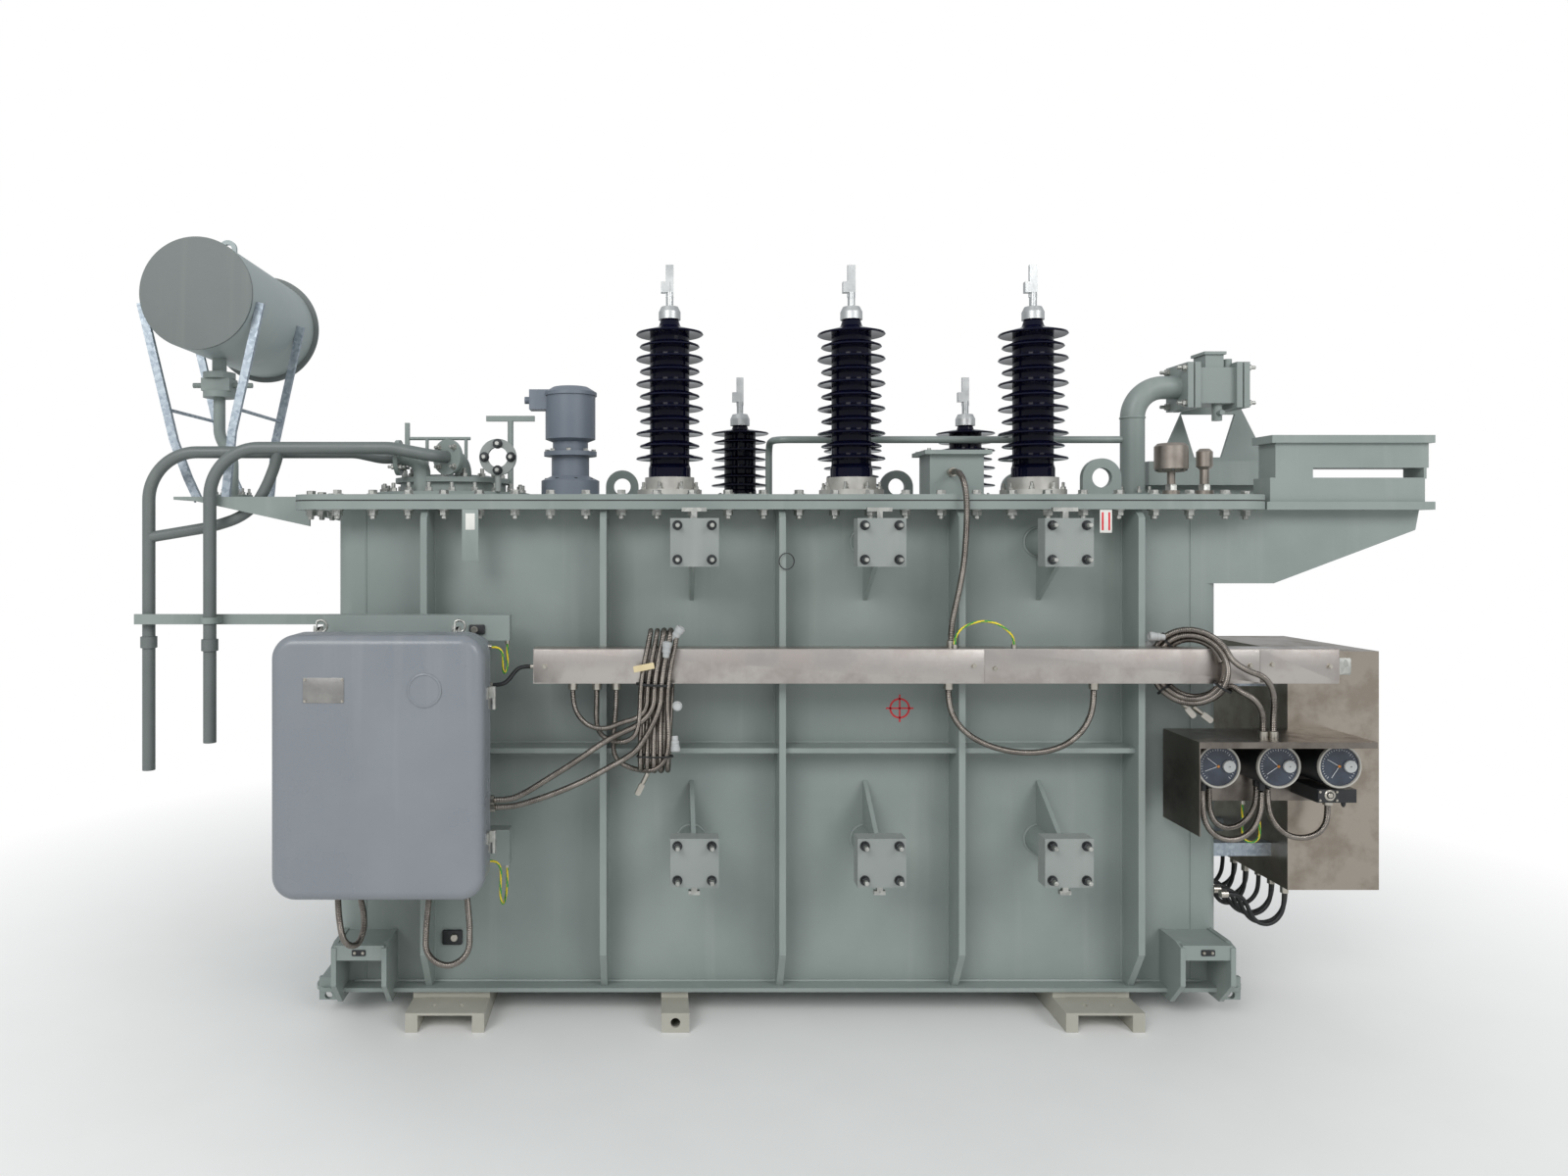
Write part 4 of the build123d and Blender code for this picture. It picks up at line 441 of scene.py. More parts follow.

# %% [markdown]
# Every solid of the frame takes its finish here. What the record calls a slot may hold several finishes: the
# valve plates are a little lighter than the tank.

# %% Finishes of the frame's solids
node_finishes = {
    tank_enamel: [
        "tank_wall", "bottom_plate", "rim_flange", "cover_plate", "wall_ribs", "waist_rails", "valve_necks",
        "valve_gussets", "jacking_lugs", "tap_changer_head", "head_elbows", "pipe_clamps", "relay_riser",
        "conservator_shelf", "conservator_outlet", "relay_body", "vent_pipe", "lifting_lugs", "end_bracket",
        "cradle_frame", "cabinet_brackets", "terminal_box"],
    painted_light_shell_enamel: ["conservator_shell"],
    skid_enamel: ["skid_frames", "skid_packers", "pull_beam"],
    valve_enamel: ["valve_bodies", "blanking_plates", "open_ring_flange", "short_bases"],
    flange_aluminium: ["tall_bases"],
    pot_steel: ["sensors"],
    painted_shade_pipe_enamel: ["conservator_ends", "oil_pipe_outer", "oil_pipe_inner"],
    cabinet_enamel: ["cabinet_housing", "cabinet_door"],
    column_enamel: ["drive_column"],
    galvanised: ["conservator_legs", "cabinet_standoffs"],
    zinc_plate: ["valve_spindles", "housing_hinges", "door_hinges"],
    trunk_sheet: ["cable_trunk"],
    cabinet_sheet: ["control_cabinet"],
    hood_sheet_painted_shade: ["gauge_hood"],
    porcelain_glaze: ["tall_porcelains", "short_porcelains"],
    cast_aluminium: ["tall_terminals", "short_terminals"],
    gasket_rubber: ["cover_gasket"],
    black_housing: ["gauge_dials"],
    nickel_brass: ["conduit_glands"],
    hose_steel: ["steel_conduits", "cable_hank", "cable_coil"],
    cable_sheath: ["black_cables"],
    green_sheath: ["earth_wires"],
}
for finish, names in node_finishes.items():
    for name in names:
        mesh = solids[name].data
        mesh.materials.clear()
        mesh.materials.append(finish)
        mesh.polygons.foreach_set("material_index", [0] * len(mesh.polygons))
bare = sorted(set(solids) - {name for names in node_finishes.values() for name in names})
print("finishes given, without one:", bare)

# %% [markdown]
# **Conduits.** A strip-wound hose is a steel strip coiled so tightly that its edges hook into each other,
# which leaves a ridge every few millimetres. A straight ribbed tube is spun from a zigzag and bent along the
# cable's line by a Curve modifier, so the ridges stay square to the line. The real ridges are 4 mm apart,
# drawn as 6.

# %% Hoses
def spun(outline, axis, sides):
    """A closed shape spun round an axis from the places of its outline."""
    shape = bmesh.new()
    points = [shape.verts.new(place) for place in outline]
    edges = [shape.edges.new(pair) for pair in zip(points, points[1:])]
    bmesh.ops.spin(shape, geom=points + edges, cent=(0, 0, 0), axis=axis, angle=2 * math.pi, steps=sides,
                   use_merge=True)
    bmesh.ops.remove_doubles(shape, verts=shape.verts, dist=1e-6)
    bmesh.ops.recalc_face_normals(shape, faces=shape.faces)
    return shape


def spun_tube(profile, sides):
    """A closed tube on +X, spun from a list of places along it and radii."""
    return spun([(x, 0, radius) for x, radius in profile], (1, 0, 0), sides)


def bend_along(name, shape, finishes, line):
    """Bends a straight tube on +X along a line, which it takes up, and ends it as a piece."""
    straight = make_piece(name + "_straight", shape, finishes)
    bend = straight.modifiers.new("bend", "CURVE")
    bend.object = line
    bpy.context.view_layer.update()
    mesh = bpy.data.meshes.new_from_object(straight.evaluated_get(bpy.context.evaluated_depsgraph_get()))
    mesh.name = name
    bpy.data.objects.remove(straight)
    bpy.data.objects.remove(line)
    piece = new_object(name, mesh)
    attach(piece, "transformer")
    return piece


def steel_hose(name, places, diameter, node):
    """A ribbed conduit; it gives back its length."""
    line = cable_line(name + "_line", places)
    points, length = line_points(line)
    pitch, groove = 0.006, 0.0011
    profile = [(0, 0)]
    for ridge in range(int(length / pitch)):
        profile += [((ridge + 0.05) * pitch, diameter / 2 - groove), ((ridge + 0.35) * pitch, diameter / 2),
                    ((ridge + 0.7) * pitch, diameter / 2)]
    profile.append((length, 0))
    hose = bend_along(name, spun_tube(profile, 10), [hose_steel], line)
    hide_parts(*node)
    return length


lengths = {name: steel_hose(name, places, 0.022, ["steel_conduits"])
           for name, places in steel_routes.items()}
for name, places in hank_routes.items():
    wide = 0.0185 if name.startswith("drop") else 0.022
    lengths[name] = steel_hose(name, places, wide, ["steel_conduits", "cable_hank"])
for name, places in coil_routes.items():
    lengths[name] = steel_hose(name, places, 0.022, ["steel_conduits", "cable_coil"])
print("hoses:", {name: round(length, 3) for name, length in lengths.items()})


# %% Black cables and earth wires
for name, places in black_routes.items():
    cable = cable_line(name, places)
    points, length = line_points(cable)
    wide = 0.015 if name == "lead" else 0.016
    cable.data.bevel_depth = wide / 2
    cable.data.bevel_resolution = 3
    cable.data.use_fill_caps = True
    cable.data.materials.append(cable_sheath)
    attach(cable, "transformer")
    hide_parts("black_cables")
    lengths[name] = length
wire_radius = 0.00425
wire_chamfer = 0.0002
twist = 2600
for name, places in earth_routes.items():
    line = cable_line(name + "_line", places)
    points, length = line_points(line)
    steps = int(length / 0.012)
    along = [wire_chamfer, *(length * i / steps for i in range(1, steps)), length - wire_chamfer]
    shape = spun_tube([(0, 0), *((x, wire_radius) for x in along), (length, 0)], 12)
    for face in shape.faces:
        middle = face.calc_center_median()
        twisted = math.degrees(math.atan2(middle.z, middle.y)) + middle.x * twist
        face.material_index = int(twisted % 180 > 90)
    wire = bend_along(name, shape, [yellow_sheath, green_sheath], line)
    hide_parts("earth_wires")
    lengths[name] = length
print("cables:", {name: round(lengths[name], 3) for name in (*black_routes, *earth_routes)})

# %% [markdown]
# **Fasteners.** Nuts and bolts are repeated hundreds of times, so each is made once from few faces: a washer,
# a hexagon with its corners turned off, and the end of the stud. `scatter` repeats a small shape over a list
# of places in one mesh.

# %% Bolt shapes
def turned_shape(profile, sides):
    """A shape on +Z spun from a list of radii and heights."""
    return spun([(radius, 0, height) for radius, height in profile], (0, 0, 1), sides)


def add_shape(shape, part, slot=0):
    """Adds a finished shape to another, with one of the piece's finishes."""
    mesh = ended_mesh("part", part)
    mesh.polygons.foreach_set("material_index", [slot] * len(mesh.polygons))
    shape.from_mesh(mesh)
    bpy.data.meshes.remove(mesh)


def washer_and_hexagon(size, top):
    """A washer for a thread size, and a hexagon with turned-off corners up to a share of that size."""
    washer = size * 0.16
    across = size * 1.5
    shape = turned_shape([(0, 0), (size * 1.1, 0), (size * 1.1, washer), (0, washer)], 14)
    made = bmesh.ops.create_cone(shape, cap_ends=True, segments=6, radius1=across / math.sqrt(3),
                                 radius2=across / math.sqrt(3), depth=size * top - washer,
                                 matrix=Matrix.Translation((0, 0, (washer + size * top) / 2)))
    upper = [face for vert in made["verts"] for face in vert.link_faces if face.normal.z > 0.9]
    bmesh.ops.inset_region(shape, faces=list(set(upper)), thickness=across * 0.07, depth=across * 0.05)
    return shape


def stud_and_nut(size, reach):
    """A washer, a nut and a stud's end, which may have a finish of its own, as one small mesh."""
    shape = washer_and_hexagon(size, 0.96)
    stud = [(0, 0), (size / 2, 0), (size / 2, reach - size * 0.12), (size * 0.38, reach), (0, reach)]
    add_shape(shape, turned_shape(stud, 10), 1)
    return ended_mesh("stud_and_nut", shape)


def bolt_head(size):
    """A washer and a bolt's hexagon head, as one small mesh."""
    return ended_mesh("bolt_head", washer_and_hexagon(size, 0.8))


def scatter(name, small, places, finish=zinc_plate, body="transformer"):
    """Repeats a small mesh at each place in one piece."""
    shape = bmesh.new()
    for place in places:
        known = len(shape.verts)
        shape.from_mesh(small)
        shape.verts.ensure_lookup_table()
        bmesh.ops.transform(shape, matrix=place, verts=shape.verts[known:])
    finishes = finish if isinstance(finish, list) else [finish]
    for face in shape.faces:
        face.material_index = min(face.material_index, len(finishes) - 1)
    make_piece(name, shape, finishes, body)
    print(name, len(places), "times", len(small.polygons), "faces")


# %% [markdown]
# The cover is bolted to the tank's rim through the gasket, a bolt every 131 mm, five to each field between
# two stiffeners. The heads are on the cover, and the nuts hang below the rim.

# %% Cover bolts
bolt_pitch = 131
end_pitch = 130
rim_middle_x = 1765
rim_middle_y = 745
rim_places = [(bolt_pitch * (i + 0.5), side * rim_middle_y) for i in range(-13, 13) for side in (-1, 1)]
rim_places += [(side * rim_middle_x, end_pitch * i) for i in range(-5, 6) for side in (-1, 1)]
scatter("cover_bolt_heads", bolt_head(0.020), [stand(x, y, 1945, turn=x) for x, y in rim_places])
scatter("cover_bolt_nuts", stud_and_nut(0.022, 0.036),
        [stand(x, y, 1890, (0, 0, -1), x) for x, y in rim_places])

# %% [markdown]
# Each radiator valve is blanked off for transport by a plate on four studs.

# %% Valve studs
valve_places = [(x, z) for z in (649, 1770) for x in (-327.5, 327.5, 982.5)]
plate_places = [(x + dx, z + dz) for x, z in valve_places for dx in (-60, 60) for dz in (-60, 60)]
scatter("valve_studs", stud_and_nut(0.016, 0.042),
        [stand(x, side * 952, z, (0, side, 0), x + z) for x, z in plate_places for side in (-1, 1)],
        [dark_nut, zinc_plate])
scatter("valve_stud_backs", bolt_head(0.016),
        [stand(x, side * 882, z, (0, -side, 0), x) for x, z in plate_places for side in (-1, 1)])

# %% [markdown]
# Bushings, pipes and round covers are each held by a ring of bolts. One helper steps round the ring's middle
# and gives a place to each bolt, on a flange that faces any way.

# %% Rings of bolts
def bolt_ring(x, y, z, radius, count, way=(0, 0, 1), start=0.0):
    """The places of a ring of bolts round a centre."""
    middle = stand(x, y, z, way)
    angles = [start + 2 * math.pi * i / count for i in range(count)]
    return [middle @ Matrix.Translation(Vector((math.cos(angle), math.sin(angle), 0)) * radius / 1000)
            for angle in angles]


nut_16 = stud_and_nut(0.016, 0.036)
nut_12 = stud_and_nut(0.012, 0.028)
bushing_bolts = [place for x in (-406, 332, 1070) for place in bolt_ring(x, -350, 1978.2, 115, 8, start=0.4)]
scatter("tall_bushing_nuts", stud_and_nut(0.012, 0.03), bushing_bolts)
bushing_bolts = [place for x in (-72, 449.5, 971) for place in bolt_ring(x, 250, 1961, 101, 8, start=0.4)]
scatter("short_bushing_nuts", nut_12, bushing_bolts)
head_bolts = bolt_ring(-1302, -250, 1967, 285, 20, start=0.16) + bolt_ring(-1302, -250, 2027, 200, 16)
scatter("head_bolts", nut_16, head_bolts)
scatter("column_bolts", bolt_head(0.012), bolt_ring(-817, -250, 2140, 96, 8))
elbow_faces = [(-1490, -450, (-1, 0, 0)), (-1285, -490, (-0.5, -0.87, 0)), (-1474, -450, (1, 0, 0))]
elbow_bolts = [place for x, y, way in elbow_faces for place in bolt_ring(x, y, 2102, 54, 4, way, 0.785)]
scatter("elbow_bolts", stud_and_nut(0.012, 0.026), elbow_bolts)
riser_bolts = bolt_ring(1564, -150, 1973, 66, 6, start=0.5) + bolt_ring(-2260, -153, 1965, 66, 6, start=0.5)
scatter("riser_bolts", nut_12, riser_bolts)
sensor_bolts = bolt_ring(1568, -480, 2056, 50, 10, (0, 0, -1))
sensor_bolts += bolt_ring(-817, -250, 2021, 100, 8, start=0.3)
scatter("sensor_bolts", bolt_head(0.010), sensor_bolts, dark_nut)
scatter("open_ring_nuts", stud_and_nut(0.018, 0.026), bolt_ring(-1084, -492, 2102, 52, 4, (0, -1, 0)),
        [dark_nut, zinc_plate])
relay_bolts = [stand(face, -150 + dy, 2422 + dz, (way, 0, 0)) for face, way in ((1753, -1), (2009, 1))
               for dy in (-74, 74) for dz in (-74, 74)]
scatter("relay_bolts", nut_16, relay_bolts)

# %% [markdown]
# **Oil thermometers.** Three round dials stand under the hood. Each has a pale clamping ring, a black face
# with plain graduations, two thin pointers on a copper hub, and a grey setting knob to the right of the hub.
# All the round pieces are spun from half outlines.

# %% Round pieces and plates
def stack(name, outlines, place, finish, sides=48, body="transformer"):
    """Round pieces spun from half outlines in millimetres, stood on one place."""
    shape = bmesh.new()
    for outline in outlines:
        add_shape(shape, turned_shape([(r / 1000, h / 1000) for r, h in outline], sides))
    bmesh.ops.transform(shape, matrix=place, verts=shape.verts)
    make_piece(name, shape, [finish], body)


def slab_mesh(width, height, depth, rounding):
    """A small plate on +Z with rounded corners and softened front edges, in millimetres."""
    shape = bmesh.new()
    box = Matrix.Diagonal((width / 1000, height / 1000, depth / 1000, 1))
    bmesh.ops.create_cube(shape, size=1, matrix=box)
    bmesh.ops.translate(shape, vec=(0, 0, depth / 2000), verts=shape.verts)
    upright = [edge for edge in shape.edges if abs(edge.verts[0].co.z - edge.verts[1].co.z) > depth / 2000]
    bmesh.ops.bevel(shape, geom=upright, offset=rounding / 1000, segments=4, affect="EDGES", profile=0.5,
                    material=-1)
    front = [edge for edge in shape.edges if min(v.co.z for v in edge.verts) > depth / 1001]
    bmesh.ops.bevel(shape, geom=front, offset=min(depth, rounding) / 5000, segments=2, affect="EDGES",
                    profile=0.5, material=-1)
    return ended_mesh("slab", shape)


def plates(name, size, places, finish=zinc_plate, body="transformer"):
    """Plates of one size, in millimetres, stood on their places."""
    scatter(name, slab_mesh(*size), places, finish, body)


# %% Dials
ring_grey = cast_metal("grey_bezel_enamel", "#a9a69e", "#b8b5ad", 0.45, 0.004, 0.2)
knob_grey = cast_metal("grey_knob_plastic", "#a8aaa9", "#b6b8b7", 0.5, 0.004, 0.0)
mark_white = cast_metal("dial_mark_ink", "#b9bcc0", "#c8cbce", 0.6, 0.01, 0.0)
face_black = cast_metal("dial_black_face", "#252b36", "#39414e", 0.22, 0.02, 0.0)
hub_copper = cast_metal("dial_copper_hub", "#b5763f", "#c98a52", 0.3, 0.004)
ring_outline = [(70, 0), (78.5, 0), (78.5, 5), (76, 9), (71, 9), (70, 7), (70, 0)]
face_outline = [(0, 0), (70.5, 0), (70.5, 1.5), (0, 1.5)]
hub_outline = [(0, 1.5), (5.5, 1.5), (5.5, 5), (4, 6.5), (0, 6.5)]
knob_outline = [(0, 1.5), (22, 1.5), (22, 9), (20.5, 10.5), (14, 10.5), (13, 9.5), (6, 9.5), (5, 10.5),
                (0, 10.5)]
slot_outline = [(0, 10.5), (2.2, 10.5), (2.2, 11), (0, 11)]
first_mark, mark_step = 225, 9
mark_size = (6, 1.6, 0.6, 0.3)
long_mark, short_mark = 9, 5
mark_reach, mark_height = 0.060, 0.0013
pointer_middle, pointer_height = 0.024, 0.0026


def turned_about(place, angle):
    """A place turned about its own +Z."""
    return place @ Matrix.Rotation(angle, 4, "Z")


for i, (x, readings) in enumerate(((1542, (200, 142)), (1757, (215, 138)), (1974, (150, 236))), 1):
    place = on_front(x, -874, 971)
    stack(f"dial_{i}_ring", [ring_outline], place, ring_grey, 64)
    stack(f"dial_{i}_face", [face_outline], place, face_black, 64)
    marks = []
    for step in range(31):
        length = short_mark if step % 5 else long_mark
        middle = Matrix.Translation((mark_reach - length / 4000, 0, mark_height))
        marks.append(turned_about(place, math.radians(first_mark - mark_step * step)) @ middle
                     @ Matrix.Diagonal((length / mark_size[0], 1, 1, 1)))
    plates(f"dial_{i}_marks", mark_size, marks, mark_white)
    middle = Matrix.Translation((pointer_middle, 0, pointer_height))
    pointers = [turned_about(place, math.radians(reading)) @ middle for reading in readings]
    plates(f"dial_{i}_pointers", (52, 2, 1, 0.4), pointers, mark_white)
    stack(f"dial_{i}_hub", [hub_outline], place, hub_copper, 20)
    knob = place @ Matrix.Translation((0.038, 0, 0))
    stack(f"dial_{i}_knob", [knob_outline], knob, knob_grey, 40)
    # A dark disc stands for the slot: painted shade.
    stack(f"dial_{i}_knob_slot", [slot_outline], knob, slot_painted_shade, 12)

# %% [markdown]
# The small meter box has a round push button in a metal collar, and four screws on its lid.

# %% Meter box
place = on_front(1948, -864, 865)
stack("meter_collar", [[(13, 0), (20, 0), (20, 3), (17, 5), (13, 4), (13, 0)]], place, nickel_brass, 28)
stack("meter_button", [[(0, 0), (9, 0), (9, 6), (7.5, 7.5), (0, 7.5)]], place, nickel_brass, 24)
plates("meter_lid", (74, 44, 3, 4), [on_front(1942, -864, 862)], black_housing)
scatter("meter_screws", bolt_head(0.004), [on_front(x, -867, z) for x in (1912, 1972) for z in (847, 877)],
        nickel_brass)
stack("meter_plug", [[(0, 0), (9, 0), (7, 14), (3, 20), (0, 20)]], stand(2008, -846, 838, (0, 0, -1)),
      black_housing, 20)

# %% [markdown]
# **Drive cabinet.** The door is one deep pan. Its front carries a small plain steel plate on four screws and
# a round raised boss, and both turn with the door. The case has two latches, two eye bolts and a socket above
# it. A second socket sits low on the wall, and a small black plate on each front jacking lug.

# %% Drive cabinet's door and case
plate_x, plate_z = -1546.7, 1289
door_plate = brushed_sheet("door_plate_brushed_steel", "#8f8d8b", "#a19f9c", (500, 4, 500))
plates("door_plate", (134, 83, 1.6, 3), [on_front(plate_x, -1200, plate_z)], door_plate, "cabinet_door")
scatter("door_plate_screws", bolt_head(0.004),
        [on_front(plate_x + dx, -1201.6, plate_z + dz) for dx in (-61, 61) for dz in (-35, 35)],
        nickel_brass, "cabinet_door")
stack("door_boss", [[(0, 0), (56, 0), (56, 2.5), (53.5, 4), (50, 4), (48, 2), (0, 2)]],
      on_front(-1217.6, -1200, 1289), cabinet_enamel, 72, "cabinet_door")
plates("case_latches", (46, 18, 16, 4), [stand(-1725, -1082, z, (-1, 0, 0), math.pi / 2) for z in (890, 987)],
       black_housing)
scatter("case_latch_pins", bolt_head(0.010), [stand(-1741, -1082, z, (-1, 0, 0)) for z in (890, 987)])


def add_ring(shape, wire, reach, sides, steps):
    """Adds a ring of round wire about +Z, in metres, and gives its vertices."""
    known = len(shape.verts)
    outward = Matrix.Translation((reach, 0, 0)) @ Matrix.Rotation(math.pi / 2, 4, "X")
    circle = bmesh.ops.create_circle(shape, segments=sides, radius=wire / 2, matrix=outward)
    edges = list({edge for vert in circle["verts"] for edge in vert.link_edges})
    bmesh.ops.spin(shape, geom=circle["verts"] + edges, cent=(0, 0, 0), axis=(0, 0, 1), angle=2 * math.pi,
                   steps=steps, use_merge=True)
    shape.verts.ensure_lookup_table()
    return shape.verts[known:]


def ring_bolt(wire, ring):
    """An eye bolt on +Z: a collar, and a ring that stands on it, in metres."""
    shape = turned_shape([(0, 0), (ring * 0.42, 0), (ring * 0.42, wire * 0.8), (wire * 0.6, wire * 1.3),
                          (wire * 0.6, wire * 1.9), (0, wire * 1.9)], 20)
    upright = Matrix.Translation((0, 0, wire * 1.4 + ring / 2)) @ Matrix.Rotation(math.pi / 2, 4, "X")
    bmesh.ops.transform(shape, matrix=upright, verts=add_ring(shape, wire, (ring - wire) / 2, 10, 28))
    bmesh.ops.remove_doubles(shape, verts=shape.verts, dist=1e-6)
    bmesh.ops.recalc_face_normals(shape, faces=shape.faces)
    return ended_mesh("ring_bolt", shape)


def socket_box(name, size, place, cap_place):
    """A black socket box with a round metal cap that stands on it."""
    plates(name, size, [place], black_housing)
    depth = size[2]
    radius = depth + 2
    cap = [(0, depth), (radius, depth), (radius, depth + 8), (radius - 2, depth + 10), (0, depth + 10)]
    stack(name + "_cap", [cap], cap_place, nickel_brass, 24)


lug_x = (-1540, 1540)
scatter("cabinet_eye_bolts", ring_bolt(0.010, 0.052), [stand(x, -940, 1436) for x in (-1637, -1152)])
socket_box("bracket_socket", (56, 34, 10, 5), on_front(-1104, -850, 1457), on_front(-1112, -850, 1457))
socket_box("wall_socket", (74, 54, 12, 6), on_front(-1230, -650, 278), on_front(-1222, -650, 280))
plates("lug_plates", (50, 22, 3, 4), [on_front(x, -811, 280) for x in lug_x], black_housing)
scatter("lug_plate_bolts", bolt_head(0.005), [on_front(x + dx, -814, 280) for x in lug_x for dx in (-15, 15)],
        nickel_brass)

# %% [markdown]
# **Trunk lids.** The cable trunk is closed by three screwed lids of thin stainless sheet, with a hairline
# joint between each two. The lids are softened plates that stand 1.6 mm proud, with screws by the joints.

# %% Trunk lids, screws, hasp and terminal box
lid_ends = (-898, 709, 1691, 1973)
lid_joint = 2
for name, left, right in zip(("left", "middle", "right"), lid_ends, lid_ends[1:]):
    middle = (left + right) / 2
    plates(f"trunk_lid_{name}", (right - left - lid_joint, 118, 1.6, 1.2), [on_front(middle, -876, 1328)],
           trunk_sheet)
lid_screws = [(672, 1329), (746, 1320), (1657, 1330), (1734, 1334), (-860, 1328), (1940, 1328)]
scatter("trunk_lid_screws", bolt_head(0.009), [on_front(x, -877.6, z) for x, z in lid_screws], nickel_brass)
plates("cabinet_hasp", (46, 62, 5, 4), [on_front(2106, -700, 1306)])
box_bolts = [stand(681 + dx, y, 2118, turn=681 + dx) for dx in (-108, 108) for y in (-640, -460)]
scatter("terminal_box_bolts", bolt_head(0.008), box_bolts)

# %% [markdown]
# **Welds.** The tank is plate welded edge to edge, and each stiffener is run down both sides with a fillet
# weld. A bead is a row of overlapping puddles, so it is spun with a swelling every 24 mm. The real ripples
# are 3 mm apart, too fine to show here.

# %% Weld beads
def bead(start, end, radius):
    """A rippled bead between two places, with its radius in metres."""
    way = Vector(end) - Vector(start)
    length = way.length / 1000
    steps = max(2, int(length / 0.012))
    profile = [(0, 0), (radius * 0.8, 0)]
    for step in range(steps):
        profile.append((radius * (1 if step % 2 else 0.86), length * (step + 0.5) / steps))
    profile += [(radius * 0.8, length), (0, length)]
    shape = turned_shape(profile, 6)
    bmesh.ops.transform(shape, matrix=stand(*start, way), verts=shape.verts)
    return shape


def weld(name, runs, radius):
    """All the beads of one kind as one piece."""
    shape = bmesh.new()
    for start, end in runs:
        add_shape(shape, bead(start, end, radius))
    make_piece(name, shape, [tank_enamel])


rib_x = [-1310, -655, 0, 655, 1310]


def upright(x, y):
    """The ends of a bead up the wall."""
    return (x, y, 114), (x, y, 1888)


side_seams = [upright(x, side * 650) for x in (-1558, 1558) for side in (-1, 1)]
rib_welds = [upright(x + dx, side * 651) for x in rib_x for dx in (-13, 13) for side in (-1, 1)]
rail_welds = [((a + 14, side * 651, z), (b - 14, side * 651, z)) for a, b in zip(rib_x, rib_x[1:])
              for z in (993, 1013) for side in (-1, 1)]
weld("tank_seam_beads", side_seams, 0.004)
weld("rib_beads", rib_welds + rail_welds, 0.005)
weld("foot_beads", [((-1600, side * 652, 113), (1600, side * 652, 113)) for side in (-1, 1)], 0.007)
shape = bmesh.new()
for x, z in valve_places:
    for side in (-1, 1):
        ring = add_ring(shape, 0.012, 0.0535, 8, 40)
        bmesh.ops.transform(shape, matrix=on_front(x, side * 652, z), verts=ring)
bmesh.ops.recalc_face_normals(shape, faces=shape.faces)
make_piece("neck_beads", shape, [tank_enamel])
stack("riser_bead", [[(48, -5), (51, -4), (52.5, 0), (51, 4), (48, 5)]], stand(1564, -150, 2293), tank_enamel)
for i, x in enumerate((1568, 1699), 1):
    stack(f"sensor_{i}_collar", [[(17, 0), (23, 0), (23, 44), (20, 48), (17, 48)]], stand(x, -480, 1948),
          zinc_plate, 6)

# %% [markdown]
# **Marks and tags.** A red ring with a cross marks the centre of gravity on the wall. Two bent tags hang from
# the rim, and a loop of cable tie is left in a stiffener.

# %% Centre-of-gravity mark and tags
place = on_front(459, -650, 1141)
stack("gravity_ring", [[(32, 0), (39, 0), (39, 0.4), (32, 0.4), (32, 0)]], place, red_paint, 64)
plates("gravity_cross", (104, 6, 0.4, 0.5), [place, turned_about(place, math.pi / 2)], red_paint)
plates("rim_tag_long", (60, 190, 3, 3), [on_front(-1140, -786, 1795)], tank_enamel)
plates("rim_tag_long_card", (34, 60, 1, 1), [on_front(-1140, -789, 1845)], white_card)
plates("rim_tag_short", (44, 84, 2, 2), [on_front(1180, -786, 1846)], white_card)
plates("rim_tag_short_stripes", (7, 66, 0.5, 0.5), [on_front(1180 + dx, -788, 1846) for dx in (-12, 12)],
       red_paint)


def tie_band(name, place, half_x, half_y, height):
    """A flat strap drawn round a bundle: an oval strip with a little thickness, in millimetres."""
    shape = bmesh.new()
    oval = bmesh.ops.create_circle(shape, segments=28, radius=1, cap_ends=False)
    bmesh.ops.scale(shape, vec=(half_x / 1000, half_y / 1000, 1), verts=oval["verts"])
    raised = bmesh.ops.extrude_edge_only(shape, edges=shape.edges[:])
    tops = [item for item in raised["geom"] if isinstance(item, bmesh.types.BMVert)]
    bmesh.ops.translate(shape, vec=(0, 0, height / 1000), verts=tops)
    bmesh.ops.recalc_face_normals(shape, faces=shape.faces)
    bmesh.ops.solidify(shape, geom=shape.faces[:], thickness=0.0016)
    bmesh.ops.transform(shape, matrix=place, verts=shape.verts)
    make_piece(name, shape, [cable_sheath])


tie_band("hank_tie", stand(-467, -903, 1262, (0.05, 0, 1)), 26, 66, 9)
tie_band("hank_tie_low", stand(-466, -903, 1010), 66, 25, 6)
stack("rib_tie_loop", [[(28, -1.5), (31, -1.5), (31, 1.5), (28, 1.5), (28, -1.5)]],
      stand(14, -794, 1700, (0.3, -1, 0)), cable_sheath, 40)

# %% [markdown]
# **Ends in the hank and the coil.** The loose ends carry round grey connectors, cable lugs and a card tag,
# tied to the bundle so that they survive the journey.

# %% Connectors, lugs and tag
connector_outline = [(0, 0), (11, 0), (12, 4), (12, 16), (15, 18), (15, 26), (13.5, 28), (15, 30), (15, 36),
                     (17, 38), (17, 52), (14, 55), (14, 51), (0, 51)]
connector_places = [stand(-402, -886, 1424, (0.55, -0.25, 0.8)), stand(-428, -928, 1366, (0.1, -0.1, 1)),
                    stand(-392, -884, 1190, (0.1, -1, 0.1)), stand(-396, -906, 1085, (0.05, -0.2, -1)),
                    stand(1372, -762, 1404, (-0.8, 0.2, -0.3)), stand(1388, -800, 1424, (-0.9, 0.1, 0.05))]
for i, place in enumerate(connector_places, 1):
    stack(f"loose_connector_{i}", [connector_outline], place, knob_grey, 24)


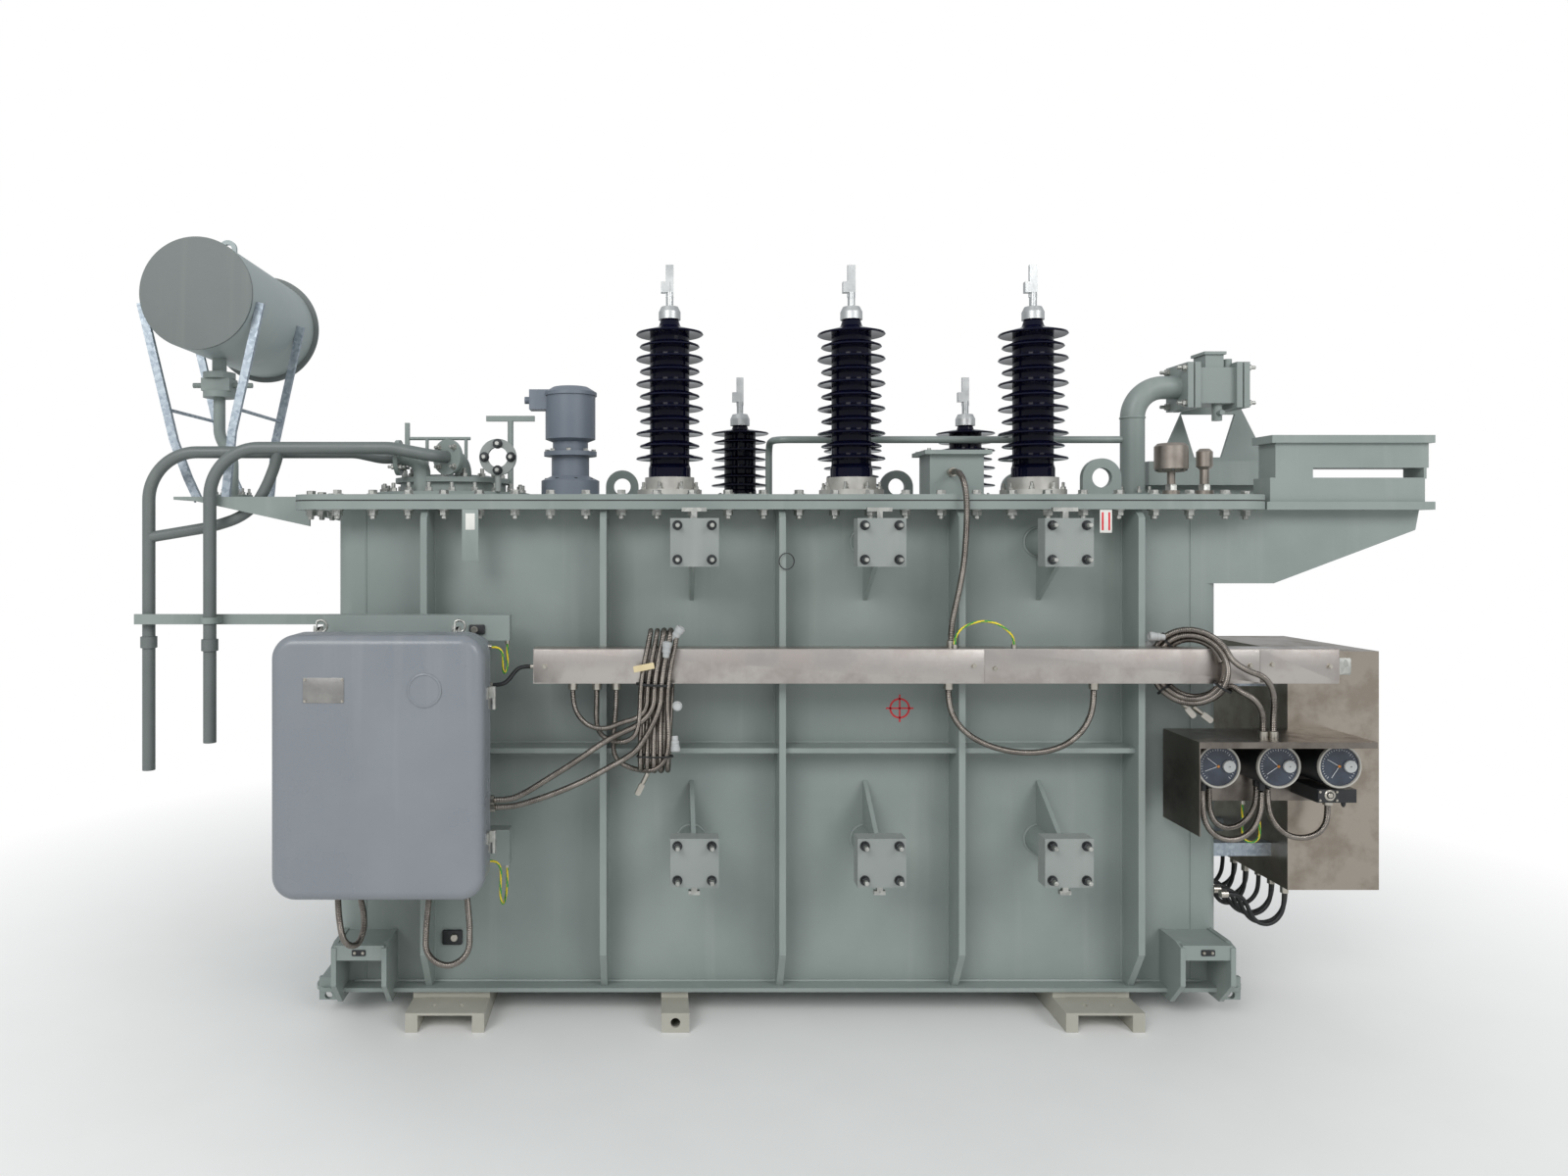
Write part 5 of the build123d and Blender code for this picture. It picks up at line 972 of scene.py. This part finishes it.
def lug_mesh():
    """A flat cable lug with a rounded palm and a round barrel, on +Z."""
    shape = bmesh.new()
    palm = Matrix.Translation((0, 0, 0.062)) @ Matrix.Diagonal((0.022, 0.004, 0.046, 1))
    bmesh.ops.create_cube(shape, size=1, matrix=palm)
    corners = [edge for edge in shape.edges if abs(edge.verts[0].co.y - edge.verts[1].co.y) > 0.003]
    bmesh.ops.bevel(shape, geom=corners, offset=0.008, segments=4, affect="EDGES", profile=0.5, material=-1)
    add_shape(shape, turned_shape([(0, 0), (0.0085, 0), (0.0085, 0.034), (0.006, 0.042), (0, 0.042)], 16))
    return ended_mesh("cable_lug", shape)


lug_places = [stand(-492, -915, 955, (-0.45, -0.1, -0.9), 1.3),
              stand(1440, -800, 1200, (0.6, -0.1, -0.75), 1.4),
              stand(1488, -806, 1172, (0.75, -0.1, -0.6), 1.4)]
scatter("loose_lugs", lug_mesh(), lug_places, nickel_brass)
plates("hank_card", (74, 22, 0.8, 3), [stand(-505, -929, 1330, (0, -1, 0.1), 0.2)], beige_card)
for i, degrees in enumerate((128, -32, 222), 1):
    angle = math.radians(degrees)
    up = Vector((0, 0, 1))
    radial = coil_across * math.cos(angle) + up * math.sin(angle)
    along = up * math.cos(angle) - coil_across * math.sin(angle)
    turned = Matrix((radial, along.cross(radial), along)).transposed().to_4x4()
    middle = coil_middle + radial * 121
    tie_band(f"coil_tie_{i}", Matrix.Translation(spot(*middle)) @ turned, 33, 26, 8)

# %% [markdown]
# Last come the floor and the light. The floor is a pale plain sheet, and two broad lamps stand where the
# hall's windows would be. The lamps and the sky together keep a painted colour at about the value that it is
# written in.

# %% Floor
floor_shape = bmesh.new()
lowered = Matrix.Translation((0, 0, -0.0005))
bmesh.ops.create_grid(floor_shape, x_segments=1, y_segments=1, size=30, matrix=lowered)
floor_mesh = ended_mesh("studio_floor", floor_shape)
floor = new_object("studio_floor", floor_mesh)
floor_sheet, tree, shader, place = new_finish("pale_floor_sheet", {"Roughness": 0.7})
cloud = add_node(tree, "TexNoise", {"Vector": place, "Scale": 3, "Detail": 3})
colour = add_node(tree, "Mix", {0: cloud, 6: "#ebebe9", 7: "#f2f2f0"}, data_type="RGBA")
feed(shader, {"Base Color": colour})
# Far from the transformer the camera sees the sheet as white as the sky, so no line shows behind it.
reach = add_node(tree, "VectorMath", {0: place}, operation="LENGTH")
far = add_node(tree, "MapRange", {"Value": reach.outputs["Value"], "From Min": 1.6, "From Max": 4.6})
eye = add_node(tree, "LightPath").outputs["Is Camera Ray"]
fade = add_node(tree, "Math", {0: far, 1: eye}, operation="MULTIPLY")
glow = add_node(tree, "Emission", {"Color": "#ffffff", "Strength": 1})
blend = add_node(tree, "MixShader", {0: fade, 1: shader, 2: glow})
feed(tree.nodes["Material Output"], {"Surface": blend})
floor_mesh.materials.append(floor_sheet)

# %% Sky and lamps
world = bpy.data.worlds.new("studio_sky")
world.use_nodes = True
tree = world.node_tree
sky = tree.nodes["Background"]
feed(sky, {"Color": "#eef2f6", "Strength": 0.62})
white = add_node(tree, "Background", {"Color": "#ffffff", "Strength": 1})
eye = add_node(tree, "LightPath").outputs["Is Camera Ray"]
feed(tree.nodes["World Output"], {"Surface": add_node(tree, "MixShader", {0: eye, 1: sky, 2: white})})
bpy.context.scene.world = world
lamp_aim = Vector((0, 0, 1.2))


def window_lamp(name, place, size, watts):
    """A square area lamp that looks at the transformer."""
    lamp_data = bpy.data.lights.new(name, "AREA")
    lamp_data.size = size
    lamp_data.energy = watts
    lamp = new_object(name, lamp_data)
    lamp.location = place
    lamp.rotation_euler = (lamp_aim - Vector(place)).to_track_quat("-Z", "Y").to_euler()


window_lamp("left_windows", (-7, -13, 10), 7, 1050)
window_lamp("right_windows", (9, -12, 9), 7, 700)
print("floor, sky and lamps made")
